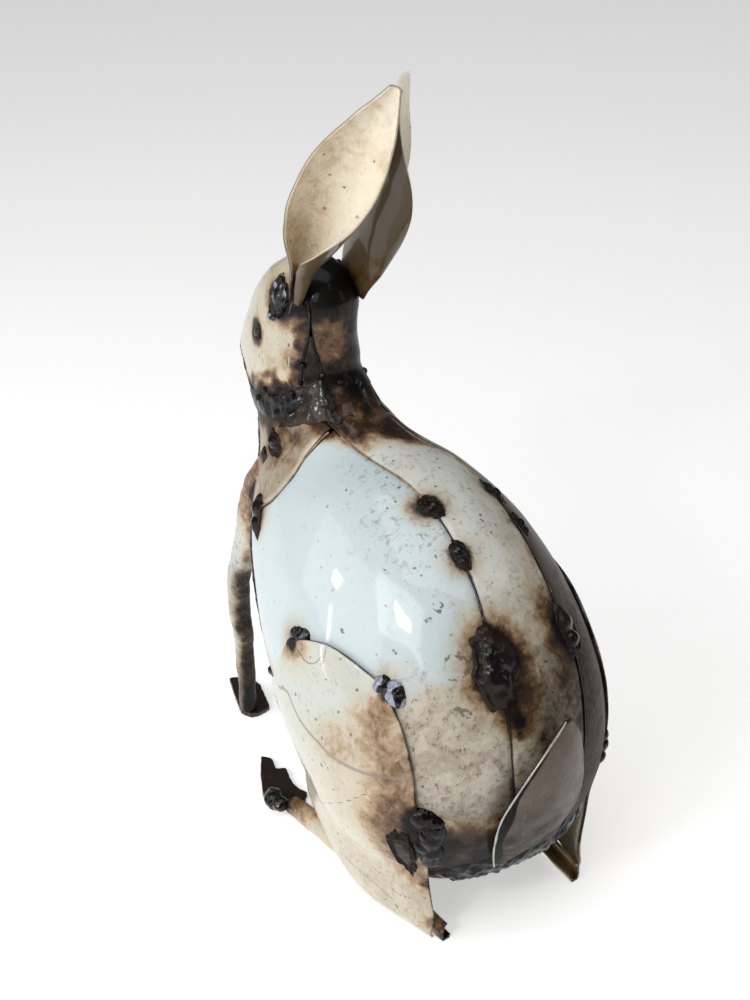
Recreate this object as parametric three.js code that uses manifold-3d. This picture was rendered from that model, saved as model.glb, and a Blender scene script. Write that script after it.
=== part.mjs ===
// Sitting hare, welded up from hammered pieces of painted sheet steel.
// Millimetres, +Z up. The hare looks along -Y, and its left side is +X.
import * as THREE from 'three';
import { mergeVertices } from 'three/addons/utils/BufferGeometryUtils.js';
import Module from 'manifold-3d';

// ---------------------------------------------------------------- sizes
const SHEET = 1.5;              // thickness of the body and head panels
const EAR_SHEET = 1.4;          // thickness of the ear cups
const SEAM_GAP = 0.9;           // open joint between two panels
const TOUCH = 0.9;              // clearance of a part that lies on another
const PLATE = 4;                // thickness of the cut plates of paws and toes
const SIMPLE = 0.1;             // detail that is left out of a cut face
const SIMPLE_WELD = 0.35;       // and of a weld
const DEG = Math.PI / 180;

// Body: one row for each slanted section, from the rump to the neck.
// share of the length, back y, back z, belly y, belly z, half width
const BODY_SECTIONS = [
  [0.00, 90, 28, 82, 23, 6],
  [0.05, 106, 36, 62, 17, 35],
  [0.14, 124, 61, 28, 18, 63],
  [0.28, 134, 108, -22, 36, 88],
  [0.44, 126, 158, -66, 76, 96],
  [0.60, 100, 203, -104, 122, 93],
  [0.74, 61, 240, -128, 166, 81],
  [0.86, 13, 264, -142, 206, 61],
  [0.94, -32, 272, -149, 234, 42],
  [1.00, -69, 286, -153, 258, 34],
];
// Angle from the spine of the two long back seams: share of the length, left, right
const BACK_SEAMS = [
  [0.0, 22, -14],
  [0.34, 18, -17],
  [0.5, 15, -21],
  [0.62, 13, -23],
  [0.75, 9.5, -31],
  [0.83, 10, -38],
  [0.9, 16, -40],
  [1.0, 40, -34],
];
const BELLY_SEAM = 128;         // angle from the spine of the two belly seams
// Where the flank stops below the shoulder patch: angle from the spine, share of the length
const SHOULDER_LINE = [
  [0, 0.99],
  [38, 0.97],
  [64, 0.94],
  [80, 0.9],
  [98, 0.86],
  [132, 0.83],
];
const SHOULDER_SHARE = 0.93;    // share of the length at which that angle is taken

// Head: slices parallel to the neck joint, which rises towards the back.
const HEAD_SLOPE = 0.33;        // rise of a slice for each millimetre towards the back
const NECK_Y = -111;            // where a slice has its stated height
const NECK_Z = 278;
// height over the neck joint, middle y, half length, half width, narrowing of the muzzle
const HEAD_SLICES = [
  [0, -112, 44, 34, 0],
  [13, -122, 46, 32.5, 0.1],
  [23, -128, 52, 33, 0.35],
  [34, -133, 56, 33, 0.5],
  [46, -132, 55, 32.5, 0.55],
  [60, -126, 50, 32, 0.5],
  [74, -124, 41, 27.5, 0.4],
  [87, -122, 26, 18.5, 0.25],
  [95, -118, 8, 7, 0],
];
const HEAD_HEIGHT = 95;
const CHEEK_SQUARE = 0.25;      // how much squarer than an oval the muzzle's slices are
// Angle from the nape of the seams beside the nape strip: height, left, right
const NAPE_SEAMS = [
  [0, 50, 23],
  [22, 43, 26],
  [42, 35, 32],
  [64, 37, 37],
  [95, 42, 42],
];
const NAPE_TOP = 42;            // height at which the nape strip runs out
// Mouth line: angle from the nape, share of the head's height
const MOUTH_LINE = [
  [96, 0],
  [118, 0.1],
  [140, 0.3],
  [160, 0.38],
  [180, 0.4],
];

// Ear: share of the length, keel x y z, half width, depth, half angle of the roll
const EAR_SECTIONS = [
  [0.0, 20.5, -94, 350.5, 5.5, 3, 160],
  [0.15, 18, -86, 373.5, 8, 7, 165],
  [0.25, 16.5, -79, 388.5, 12.5, 12, 155],
  [0.35, 15.4, -71.5, 403.2, 17.2, 15.8, 132],
  [0.52, 12.8, -59.2, 427.4, 22, 20.2, 97],
  [0.7, 10, -44, 453, 21.2, 16.6, 80],
  [0.86, 8.2, -29.2, 475, 13, 6.8, 70],
  [1.0, 7.2, -15.5, 494, 4, 3, 60],
];
const EAR_TURN = 8;             // how far the cup opens to the back at its root
const EAR_TWIST = 52;           // and how much further at its tip
// The right ear is rolled a little differently; same columns, on the left side
const RIGHT_EAR_SECTIONS = [
  [0.0, 17.2, -94, 350.5, 14, 2, 140],
  [0.15, 14.7, -86, 373.5, 21.5, 8.7, 140],
  [0.35, 14.2, -71, 403.2, 17.6, 16.3, 115],
  [0.52, 14.2, -57.8, 427.4, 16.5, 19.6, 95],
  [0.7, 11.2, -44.2, 453, 16.1, 17.7, 80],
  [0.86, 8.3, -29.9, 475, 12.5, 9.8, 70],
  [1.0, 5.2, -18.7, 494, 8.5, 6, 60],
];
const RIGHT_EAR_TURN = 3;
const RIGHT_EAR_TWIST = 57;
const RIGHT_EAR_LEAN = [4, -4.5, 2];  // lean of the right ear's tip

// Haunch: the two edges of the shield-shaped plate, share, x, y, z
const HAUNCH_REAR = [
  [0.0, 80, -2, 183],
  [0.12, 80, 24, 191],
  [0.24, 77, 48, 188],
  [0.36, 72, 70, 178],
  [0.52, 72, 91, 148],
  [0.7, 71, 101, 104],
  [0.86, 66, 100, 52],
  [1.0, 61, 101, 16],
];
const HAUNCH_FRONT = [
  [0.0, 82, -6, 180],
  [0.12, 78, -14, 160],
  [0.24, 70, -26, 134],
  [0.36, 63, -37, 102],
  [0.52, 62, -38, 62],
  [0.7, 68, -22, 28],
  [0.86, 74, 36, 5],
  [1.0, 62, 100, 2],
];
const HAUNCH_BULGE = [
  [0, 1],
  [0.12, 3],
  [0.36, 12],
  [0.6, 16],
  [0.8, 9],
  [1, 3],
];
const BULGE_POWER = 0.75;       // a lower power bulges more squarely
const HAUNCH_LIFT = 3.5;        // how far the plate's face stands off the flank
const HAUNCH_EASE = 2;          // how gently its bulge goes over into that
const RIGHT_HEEL_IN = 11;       // the right heel stands closer to the middle
const RIGHT_HEEL_BACK = 10;
const HEEL_ROOM = { front: 10, top: 110, reach: 90 };  // where that move starts, how far it grows

// Forelegs and hind feet: share, x, y, z, half width across, half depth
const FORELEG_PATH = [
  [0.0, 38, -102, 244, 4, 10],
  [0.2, 43.5, -118.5, 214, 5, 10],
  [0.45, 42.5, -134.5, 168, 6.5, 9],
  [0.68, 41.5, -149, 118, 7, 8],
  [0.85, 35.5, -154.5, 62, 6.5, 7],
  [1.0, 31, -162, 4.6, 5.5, 6],
];
const HIND_FOOT_PATH = [
  [0.0, 55, 104.5, 6, 3.6, 8],
  [0.3, 57, 62, 6.5, 6, 9],
  [0.65, 61, -2, 7.5, 7.5, 10],
  [1.0, 65.5, -50, 6.5, 6, 8.5],
];
const FOOT_ROLL = [200, 460];   // the folded sheet of a foot, open above on the inner side
// Paws and toes are cut from plate: their outlines on the left side, seen from above
const FOREPAW = [
  [22, -204],
  [8, -197],
  [7, -182],
  [16, -154],
  [27, -152],
  [33, -154],
  [37, -163],
  [31, -181],
];
const HIND_TOES = [
  [53, -110],
  [48, -103],
  [52, -92],
  [46, -88],
  [50, -75],
  [51, -64],
  [48, -56],
  [54, -51.5],
  [66, -51.5],
  [77, -58],
  [77, -68],
  [73, -78],
  [64, -94],
];

// Tail: share of the body's length, angle of its left edge, angle of its right edge,
// and how far both stand off the rump
const TAIL_SECTIONS = [
  [0.165, 30, 22, 4.5, 4.5],
  [0.2, 30, -2, 5.5, 4.5],
  [0.24, 29, -10.5, 7, 5],
  [0.3, 25.5, -12.5, 9.5, 5.5],
  [0.36, 17.5, -11, 12, 6.5],
  [0.41, 8, -8, 13, 9],
  [0.445, -0.5, -3.5, 13, 12],
];
const TAIL_CROWN = 4;

// Large welds on the body seams: share of the length, angle, radius along, across, height
const SEAM_WELDS = [
  [0.828, 10, 10, 6, 4],
  [0.748, 10, 6, 8, 4],
  [0.563, 15, 15, 13, 8],
  [0.808, -37, 8, 6, 4],
  [0.741, -30, 9, 6, 4],
  [0.57, -24, 12, 9, 6],
];
// Welds between a foreleg and the shoulder, same columns, on the left side
const SHOULDER_WELDS = [
  [0.955, 92, 9, 6, 5],
  [0.835, 110, 12, 6, 5],
];
// Welds at the edge of each haunch, on the left side: x, y, z, radius across, lengthwise, up
const HAUNCH_WELDS = {
  left: [
    [88, -3, 184, 9, 10, 9],
    [74, 70, 176, 7, 9, 8],
    [73, 101, 94, 9, 9, 20],
  ],
  right: [
    [88, -3, 184, 9, 10, 9],
    [73, 102, 88, 6, 6, 14],
  ],
};
const HAUNCH_TIP_ROOM = [5.4, 7.2, 7.2];  // radii of the room round a haunch's top end
const UNDER_HAUNCH = 9;         // depth under a haunch that its welds stay out of
const TOE_WELD = [73, -58, 7, 8, 12, 6];  // x, y, z and the same radii
// Welds on the head: share of the height, angle, radius along, across, height
const EYE = [0.49, 85, 7, 5, 4];
const EAR_WELD = [0.71, 70, 10, 8, 6];
// Neck weld: the outline of its section, outwards and as a share of the gap it fills
const NECK_WELD = [
  [-3.6, 0.2],
  [0.4, 0.2],
  [2.2, 0.5],
  [0.4, 0.8],
  [-3.6, 0.8],
];
const NECK_WELD_SWELL = 0.3;
const NECK_WELD_DROP = 3;       // its middle lies this far below the neck joint
const RUMP_WELD = [0.11, 60, 3.6];  // share of the length, angle at its ends, radius
const RUMP_WELD_SWELL = 0.2;
const CROWN_WELD = [[8.5, 10, 3.5], [0, -118, 371]];  // radii and centre
const BASE_WELD = [[9, 9, 3.5], [0, 86, 21]];
const LUMP_SEED = 1.7;          // turn between the swellings of one lump and the next
const LUMP_SWELL = 0.1;
const ANY_WIDTH = 400;          // wider than the whole hare

// ---------------------------------------------------------------- curves
// Smooth curve through rows whose first value is the parameter.
function curveThrough(rows) {
  const slopes = rows.map((row, i) => {
    const before = rows[Math.max(i - 1, 0)];
    const after = rows[Math.min(i + 1, rows.length - 1)];
    return row.map((_, k) => (after[k] - before[k]) / (after[0] - before[0]));
  });
  return (t) => {
    let i = 0;
    while (i < rows.length - 2 && t > rows[i + 1][0]) i += 1;
    const step = rows[i + 1][0] - rows[i][0];
    const u = (t - rows[i][0]) / step;
    const a = 2 * u ** 3 - 3 * u ** 2 + 1;
    const b = (u ** 3 - 2 * u ** 2 + u) * step;
    const c = 3 * u ** 2 - 2 * u ** 3;
    const d = (u ** 3 - u ** 2) * step;
    return rows[i].slice(1).map((value, k) => a * value + b * slopes[i][k + 1]
      + c * rows[i + 1][k + 1] + d * slopes[i + 1][k + 1]);
  };
}

const mix = THREE.MathUtils.lerp;
const clamp01 = (value) => THREE.MathUtils.clamp(value, 0, 1);
const vec = (x, y, z) => new THREE.Vector3(x, y, z);

// ---------------------------------------------------------------- solids
function solidFrom(points, faces, turned) {
  const geometry = new THREE.BufferGeometry();
  geometry.setAttribute('position', new THREE.Float32BufferAttribute(points.flatMap((p) => p.toArray()), 3));
  geometry.setIndex(faces.flatMap(([a, b, c]) => (turned ? [a, c, b] : [a, b, c])));
  geometry.computeVertexNormals();
  return geometry;
}

// Direction square to a surface, worked out from two small steps on it.
function normalAt(surface, u, v) {
  const e = 1e-3;
  const alongU = surface(u + e, v).sub(surface(u - e, v));
  const alongV = surface(u, v + e).sub(surface(u, v - e));
  return alongU.cross(alongV).normalize();
}

// Bent sheet: an outer grid, an inner grid one thickness below it, and the cut edges.
// surface(u, v) gives a point for u and v from 0 to 1, and side -1 turns it round.
function sheet(surface, rows, columns, thickness, side = 1) {
  const points = [];
  const faces = [];
  for (const depth of [0, thickness]) {
    for (let i = 0; i <= rows; i += 1) {
      for (let j = 0; j <= columns; j += 1) {
        const u = i / rows;
        const v = j / columns;
        const normal = normalAt(surface, u, v).multiplyScalar(side);
        points.push(surface(u, v).addScaledVector(normal, -depth));
      }
    }
  }
  const width = columns + 1;
  const under = (rows + 1) * width;
  const quad = (a, b, c, d) => faces.push([a, b, c], [a, c, d]);
  for (let i = 0; i < rows; i += 1) {
    for (let j = 0; j < columns; j += 1) {
      const a = i * width + j;
      quad(a, a + width, a + width + 1, a + 1);
      quad(under + a, under + a + 1, under + a + width + 1, under + a + width);
    }
  }
  for (let j = 0; j < columns; j += 1) {
    const last = rows * width + j;
    quad(j, j + 1, under + j + 1, under + j);
    quad(last + 1, last, under + last, under + last + 1);
  }
  for (let i = 0; i < rows; i += 1) {
    const first = i * width;
    const last = first + columns;
    quad(first + width, first, under + first, under + first + width);
    quad(last, last + width, under + last + width, under + last);
  }
  return solidFrom(points, faces, side < 0);
}

// Solid through rings of points, closed by a flat face at both ends.
function throughRings(rings, side = 1) {
  const count = rings[0].length;
  const faces = [];
  for (let i = 0; i < rings.length - 1; i += 1) {
    for (let j = 0; j < count; j += 1) {
      const a = i * count + j;
      const b = i * count + ((j + 1) % count);
      faces.push([a, b, b + count], [a, b + count, a + count]);
    }
  }
  const last = (rings.length - 1) * count;
  for (let j = 1; j < count - 1; j += 1) {
    faces.push([0, j + 1, j], [last, last + j, last + j + 1]);
  }
  return solidFrom(rings.flat(), faces, side < 0);
}

// Solid through rings of points that close on themselves, such as a bent hoop.
function aroundRings(rings) {
  const count = rings[0].length;
  const faces = [];
  for (let i = 0; i < rings.length; i += 1) {
    for (let j = 0; j < count; j += 1) {
      const a = i * count + j;
      const b = i * count + ((j + 1) % count);
      const c = ((i + 1) % rings.length) * count;
      faces.push([a, b, c + ((j + 1) % count)], [a, c + ((j + 1) % count), c + j]);
    }
  }
  return solidFrom(rings.flat(), faces, false);
}

const wasm = await Module();
wasm.setup();

function asManifold(geometry) {
  const vertProperties = new Float32Array(geometry.attributes.position.array);
  const triVerts = new Uint32Array(geometry.index.array);
  return new wasm.Manifold(new wasm.Mesh({ numProp: 3, vertProperties, triVerts }));
}

// The largest body of a manifold, as a geometry.
function asGeometry(manifold, detail = SIMPLE) {
  const bodies = manifold.decompose();
  bodies.sort((a, b) => b.volume() - a.volume());
  const mesh = bodies[0].simplify(detail).getMesh();
  const geometry = new THREE.BufferGeometry();
  const positions = new Float32Array(mesh.numVert * 3);
  for (let i = 0; i < mesh.numVert; i += 1) {
    for (let k = 0; k < 3; k += 1) positions[3 * i + k] = mesh.vertProperties[mesh.numProp * i + k];
  }
  geometry.setAttribute('position', new THREE.BufferAttribute(positions, 3));
  geometry.setIndex(Array.from(mesh.triVerts));
  geometry.computeVertexNormals();
  return geometry;
}

// Lump of weld: a ball with a few swellings, stretched along three directions.
function lump(centre, directions, radii, seed, rows = 5, around = 8) {
  const rings = [];
  for (let i = 1; i < rows; i += 1) {
    const ring = [];
    for (let j = 0; j < around; j += 1) {
      const down = i / rows * Math.PI;
      const turn = j / around * 2 * Math.PI;
      const swell = 1 + LUMP_SWELL * Math.sin(3 * turn + seed * LUMP_SEED) * Math.sin(down);
      const local = [Math.sin(down) * Math.cos(turn), Math.sin(down) * Math.sin(turn), Math.cos(down)];
      const point = centre.clone();
      local.forEach((value, k) => point.addScaledVector(directions[k], value * radii[k] * swell));
      ring.push(point);
    }
    rings.push(ring);
  }
  return throughRings(rings.reverse());
}

// ---------------------------------------------------------------- body form
const bodySection = curveThrough(BODY_SECTIONS);
const backSeams = curveThrough(BACK_SEAMS);
const shoulderLine = curveThrough(SHOULDER_LINE);

// A point of the body: the slanted section at share s, turned by an angle from the spine.
function bodyPoint(s, degrees) {
  const [backY, backZ, bellyY, bellyZ, halfWidth] = bodySection(s);
  const along = (1 + Math.cos(degrees * DEG)) / 2;
  return vec(halfWidth * Math.sin(degrees * DEG), mix(bellyY, backY, along), mix(bellyZ, backZ, along));
}

// Angle that half a seam gap takes at share s of the body.
function bodyGap(s) {
  const [backY, , bellyY, , halfWidth] = bodySection(s);
  return SEAM_GAP / 2 / Math.max(halfWidth, (backY - bellyY) / 4, 4) / DEG;
}

// Half width of the body where its side view shows the point y, z; negative outside it.
function bodyHalfWidth(y, z) {
  let low = 0;
  let high = 1;
  let along = 0;
  for (let i = 0; i < 24; i += 1) {
    const s = (low + high) / 2;
    const [backY, backZ, bellyY, bellyZ] = bodySection(s);
    const dy = (backY - bellyY) / 2;
    const dz = (backZ - bellyZ) / 2;
    const offY = y - bellyY - dy;
    const offZ = z - bellyZ - dz;
    along = (offY * dy + offZ * dz) / (dy * dy + dz * dz);
    if (dy * offZ - dz * offY > 0) low = s;
    else high = s;
  }
  const halfWidth = bodySection(low)[4];
  return Math.abs(along) < 1 ? halfWidth * Math.sqrt(1 - along * along) : -halfWidth;
}

// ---------------------------------------------------------------- head form
const headSlice = curveThrough(HEAD_SLICES);
const napeSeams = curveThrough(NAPE_SEAMS);
const mouthLine = curveThrough(MOUTH_LINE);

// A point of the head: the slice at share t, turned by an angle from the nape.
function headPoint(t, degrees) {
  const [middleY, halfLength, halfWidth, narrowing] = headSlice(t * HEAD_HEIGHT);
  const forward = ((1 - Math.cos(degrees * DEG)) / 2) ** 2;
  const sine = Math.sin(degrees * DEG);
  const round = Math.sign(sine) * Math.abs(sine) ** (1 - CHEEK_SQUARE * forward);
  const y = middleY + halfLength * Math.cos(degrees * DEG);
  const z = NECK_Z + t * HEAD_HEIGHT + HEAD_SLOPE * (y - NECK_Y);
  return vec(halfWidth * round * (1 - narrowing * forward), y, z);
}

// Angle that half a seam gap takes at share t of the head.
const headGap = (t) => SEAM_GAP / 2 / Math.max(headSlice(t * HEAD_HEIGHT)[2], 8) / DEG;

// Closed form of a whole shell, grown by the clearance, that cuts what lies on it.
function core(point, rows, sides) {
  const surface = (u, v) => point(u, v * 360 - 180);
  const rings = [];
  for (let i = 0; i <= rows; i += 1) {
    const closer = (1 - Math.cos(i / rows * Math.PI)) / 2;
    const share = THREE.MathUtils.clamp(closer, 1e-3, 1 - 1e-3);
    const ring = [];
    for (let j = 0; j < sides; j += 1) {
      const at = surface(share, j / sides);
      const beyond = surface(share + 1e-3, j / sides).sub(at).normalize();
      at.addScaledVector(normalAt(surface, share, j / sides), TOUCH);
      if (i === rows) at.addScaledVector(beyond, TOUCH);
      if (i === 0) at.addScaledVector(beyond, -TOUCH);
      ring.push(at);
    }
    rings.push(ring.reverse());
  }
  return asManifold(throughRings(rings));
}

const bodyCore = core(bodyPoint, 26, 42);
const headCore = core(headPoint, 15, 36);

// ---------------------------------------------------------------- ear form
// A point of the left ear: an arc across its keel, open to the side and twisting backwards.
function earSurface(rows, root, twist) {
  const section = curveThrough(rows);
  return (u, v) => {
    const [x, y, z, halfWidth, depth, roll] = section(u);
    const next = section(u + 0.01);
    const axis = vec(next[0] - x, next[1] - y, next[2] - z).normalize();
    const turn = (root + twist * u) * DEG;
    const outward = vec(Math.cos(turn), Math.sin(turn), 0);
    const open = outward.addScaledVector(axis, -axis.dot(outward)).normalize();
    const back = axis.clone().cross(open);
    const arc = (2 * v - 1) * roll * DEG;
    return vec(x, y, z)
      .addScaledVector(back, halfWidth * Math.sin(arc))
      .addScaledVector(open, depth * (1 - Math.cos(arc)));
  };
}

// ---------------------------------------------------------------- leg forms
const haunchRear = curveThrough(HAUNCH_REAR);
const haunchFront = curveThrough(HAUNCH_FRONT);
const haunchBulge = curveThrough(HAUNCH_BULGE);

// A haunch: from front edge to rear edge, bulging out, and never closer to the flank than
// the lift. Its heel is moved first.
function haunchSurface(moveHeel) {
  return (u, v) => {
    const point = moveHeel(vec(...haunchFront(u)).lerp(vec(...haunchRear(u)), v));
    const across = Math.max(1 - (2 * v - 1) ** 2, 0) ** BULGE_POWER;
    const own = point.x + haunchBulge(u)[0] * across;
    const over = bodyHalfWidth(point.y, point.z) + HAUNCH_LIFT;
    point.x = (own + over + Math.sqrt((own - over) ** 2 + HAUNCH_EASE ** 2)) / 2;
    return point;
  };
}

// Moves a point near the heel in and back; the right heel is moved before it is mirrored.
function heelIn(point) {
  const { front, top, reach } = HEEL_ROOM;
  const share = clamp01((point.y - front) / reach) * clamp01((top - point.z) / reach);
  return point.add(vec(-RIGHT_HEEL_IN * share, RIGHT_HEEL_BACK * share, 0));
}
const same = (point) => point;

const mirrorX = vec(-1, 1, 1);
const mirrored = (surface) => (u, v) => surface(u, v).multiply(mirrorX);

// Rings of a bar along a path of rows: share, x, y, z, half width, half depth.
// Nothing of it goes below the floor, which leaves a flat sole, and each point is moved.
function ringsAlong(rows, [steps, sides], floor, move) {
  const path = curveThrough(rows);
  const rings = [];
  for (let i = 0; i <= steps; i += 1) {
    const [x, y, z, halfWidth, halfDepth] = path(i / steps);
    const next = path(i / steps + 0.01);
    const along = vec(next[0] - x, next[1] - y, next[2] - z).normalize();
    const across = vec(1, 0, 0).addScaledVector(along, -along.x).normalize();
    const other = along.clone().cross(across);
    const ring = [];
    for (let j = 0; j < sides; j += 1) {
      const turn = (j + 0.5) / sides * 2 * Math.PI;
      const point = vec(x, y, z)
        .addScaledVector(across, halfWidth * Math.cos(turn))
        .addScaledVector(other, halfDepth * Math.sin(turn));
      point.z = Math.max(point.z, floor);
      ring.push(move(point));
    }
    rings.push(ring);
  }
  return rings;
}

const mirrorRings = (rings) => rings.map((ring) => ring.map((p) => p.multiply(mirrorX)));

// ---------------------------------------------------------------- finishes
const finish = (color, roughness, metalness) => (
  new THREE.MeshStandardMaterial({ color, roughness, metalness })
);
const BLUE_GREY = finish(0xd3dcde, 0.25, 0.1);
const CREAM = finish(0xddd2ba, 0.3, 0.1);
const SCORCHED = finish(0x5a3f2c, 0.35, 0.3);
const DARK_STEEL = finish(0x2c2624, 0.3, 0.8);
const PINK_GREY = finish(0xb9aba4, 0.3, 0.2);

const hare = new THREE.Group();
function add(name, geometry, material) {
  const mesh = new THREE.Mesh(geometry, material);
  mesh.name = name;
  hare.add(mesh);
}

// ---------------------------------------------------------------- panels
// Part of a shell between two side edges, given as angles that change along it, and two
// end edges, given as shares that change round it, first looked up at one share.
function shellPart(point, startAngle, endAngle, startShare, endShare, atShare) {
  return (u, v) => {
    const angleAt = (share) => mix(startAngle(share), endAngle(share), v);
    const edgeShare = (line) => line(angleAt(line(angleAt(line(angleAt(atShare))))));
    const share = mix(edgeShare(startShare), edgeShare(endShare), u);
    return point(share, angleAt(share));
  };
}

const always = (value) => () => value;
const SHARE_GAP = 0.0025;       // half a seam gap, as a share of the length
const JAW_GAP = 5 * SHARE_GAP;  // the jaw stops this much below the mouth line
const JAW_SIDE = 104;           // angle from the nape at which the jaw begins
const HEAD_SHARE = 0.4;         // share of the height at which the head's angles are taken

function addBodyPanels() {
  const left = (s) => backSeams(s)[0] + bodyGap(s);
  const right = (s) => backSeams(s)[1] - bodyGap(s);
  const leftBelly = (s) => BELLY_SEAM - bodyGap(s);
  const rightBelly = (s) => -BELLY_SEAM + bodyGap(s);
  const flankEnd = (angle) => shoulderLine(Math.abs(angle))[0] - SHARE_GAP;
  const patchStart = (angle) => shoulderLine(Math.abs(angle))[0] + SHARE_GAP;
  const panel = (...edges) => shellPart(bodyPoint, ...edges, SHOULDER_SHARE);
  const whole = [always(0), always(1)];

  const backLeft = (s) => backSeams(s)[0] - bodyGap(s);
  const backRight = (s) => backSeams(s)[1] + bodyGap(s);
  add('back_panel', sheet(panel(backRight, backLeft, ...whole), 18, 4, SHEET), CREAM);
  add('left_flank', sheet(panel(left, leftBelly, always(0), flankEnd), 15, 7, SHEET), BLUE_GREY);
  add('right_flank', sheet(panel(rightBelly, right, always(0), flankEnd), 15, 7, SHEET), BLUE_GREY);
  add('left_shoulder', sheet(panel(left, leftBelly, patchStart, always(1)), 3, 7, SHEET), CREAM);
  add('right_shoulder', sheet(panel(rightBelly, right, patchStart, always(1)), 3, 7, SHEET), CREAM);

  const bellyPoint = (s, angle) => bodyPoint(s, angle + 180);
  const edge = (s) => 180 - BELLY_SEAM - bodyGap(s);
  const belly = shellPart(bellyPoint, (s) => -edge(s), edge, ...whole, SHOULDER_SHARE);
  add('belly_panel', sheet(belly, 14, 6, SHEET), BLUE_GREY);
}

function addHeadPanels() {
  const seams = (t) => napeSeams(t * HEAD_HEIGHT);
  const left = (t) => seams(t)[0] + headGap(t);
  const right = (t) => seams(t)[1] - headGap(t);
  const brow = (t) => 180 - headGap(t);
  const browRight = (t) => headGap(t) - 180;
  const jawLine = (angle) => Math.max(mouthLine(Math.max(Math.abs(angle), MOUTH_LINE[0][0]))[0], 0);
  const cheekStart = (angle) => (Math.abs(angle) > MOUTH_LINE[0][0] ? jawLine(angle) + SHARE_GAP : 0);
  const panel = (...edges) => shellPart(headPoint, ...edges, HEAD_SHARE);
  add('left_cheek', sheet(panel(left, brow, cheekStart, always(1)), 9, 8, SHEET), CREAM);
  add('right_cheek', sheet(panel(browRight, right, cheekStart, always(1)), 9, 8, SHEET), CREAM);

  const napeEnd = always(NAPE_TOP / HEAD_HEIGHT);
  const napeLeft = (t) => Math.max(seams(t)[0] - headGap(t), seams(t)[1] + headGap(t) + 1);
  const napeRight = (t) => seams(t)[1] + headGap(t);
  add('nape_strip', sheet(panel(napeRight, napeLeft, always(0), napeEnd), 6, 2, SHEET), SCORCHED);

  const jawPoint = (t, angle) => headPoint(t, angle + 180);
  const jawEdge = 180 - JAW_SIDE;
  const jawEnd = (angle) => jawLine(180 - Math.abs(angle)) - JAW_GAP;
  const jaw = shellPart(jawPoint, always(-jawEdge), always(jawEdge), always(0), jawEnd, HEAD_SHARE);
  add('jaw', sheet(jaw, 5, 9, SHEET), CREAM);
}

addBodyPanels();
addHeadPanels();

// ---------------------------------------------------------------- cutting
const without = (geometry, cutters) => cutters.reduce((left, c) => left.subtract(c), asManifold(geometry));
const cutBy = (geometry, ...cutters) => asGeometry(without(geometry, cutters));
const weldBy = (geometry, ...cutters) => asGeometry(without(geometry, cutters), SIMPLE_WELD);

const ROOM_OVER = 0.012;        // how far a sheet's room goes past its side edges, as a share
// The room that a sheet takes up, with the clearance on all sides.
function roomOfSheet(surface, [rows, columns], thickness, side) {
  const raised = (u, v) => {
    const at = [u, mix(-ROOM_OVER, 1 + ROOM_OVER, v)];
    return surface(...at).addScaledVector(normalAt(surface, ...at), TOUCH * side);
  };
  return asManifold(sheet(raised, rows, columns, thickness + 2 * TOUCH, side));
}

// A bar on the left or the right side, and the room that it takes up.
function bar(rows, grid, side, floor = 0, move = same) {
  const rings = ringsAlong(rows, grid, floor, move);
  return throughRings(side > 0 ? rings : mirrorRings(rings), side);
}

function roomOfBar(rows, grid, side, move = same) {
  const wider = rows.map((row) => [...row.slice(0, 4), row[4] + TOUCH, row[5] + TOUCH]);
  const end = wider[wider.length - 1];
  end[2] -= TOUCH;
  return asManifold(bar(wider, grid, side, -TOUCH, move));
}

// A hind foot: sheet rolled round the path, flat underneath.
const footPath = curveThrough(HIND_FOOT_PATH);
function footSurface(move) {
  return (u, v) => {
    const [x, y, z, halfWidth, halfDepth] = footPath(u);
    const turn = mix(FOOT_ROLL[1], FOOT_ROLL[0], v) * DEG;
    const point = vec(x + halfWidth * Math.cos(turn), y, z + halfDepth * Math.sin(turn));
    point.z = Math.max(point.z, 0);
    return move(point);
  };
}

// ---------------------------------------------------------------- ears and limbs
const EAR_GRID = [12, 8];
const HAUNCH_GRID = [15, 7];
const FORELEG_GRID = [9, 8];
const FOOT_GRID = [8, 10];

const lean = vec(...RIGHT_EAR_LEAN);
const rightEarForm = mirrored(earSurface(RIGHT_EAR_SECTIONS, RIGHT_EAR_TURN, RIGHT_EAR_TWIST));
const ears = {
  left: earSurface(EAR_SECTIONS, EAR_TURN, EAR_TWIST),
  right: (u, v) => rightEarForm(u, v).addScaledVector(lean, u),
};
const haunches = { left: haunchSurface(same), right: mirrored(haunchSurface(heelIn)) };
const heelMoves = { left: same, right: heelIn };
const feet = { left: footSurface(same), right: mirrored(footSurface(heelIn)) };
const sides = [['left', 1], ['right', -1]];

for (const [name, side] of sides) {
  add(`${name}_ear`, cutBy(sheet(ears[name], ...EAR_GRID, EAR_SHEET, side), headCore), CREAM);
  add(`${name}_haunch`, cutBy(sheet(haunches[name], ...HAUNCH_GRID, SHEET, side), bodyCore), CREAM);
  add(`${name}_foreleg`, cutBy(bar(FORELEG_PATH, FORELEG_GRID, side, PLATE + TOUCH), bodyCore), CREAM);
  add(`${name}_hind_foot`, sheet(feet[name], 6, 9, SHEET, side), CREAM);
}

// A plate cut to an outline, flat on the ground.
function cutPlate(outline, side) {
  const shape = new THREE.Shape(outline.map(([x, y]) => new THREE.Vector2(side * x, y)));
  const flat = new THREE.ExtrudeGeometry(shape, { depth: PLATE, bevelEnabled: false });
  flat.deleteAttribute('normal');
  flat.deleteAttribute('uv');
  return asGeometry(asManifold(mergeVertices(flat)));
}

for (const [name, side] of sides) {
  add(`${name}_forepaw`, cutPlate(FOREPAW, side), DARK_STEEL);
  add(`${name}_hind_toes`, cutPlate(HIND_TOES, side), DARK_STEEL);
}

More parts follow.
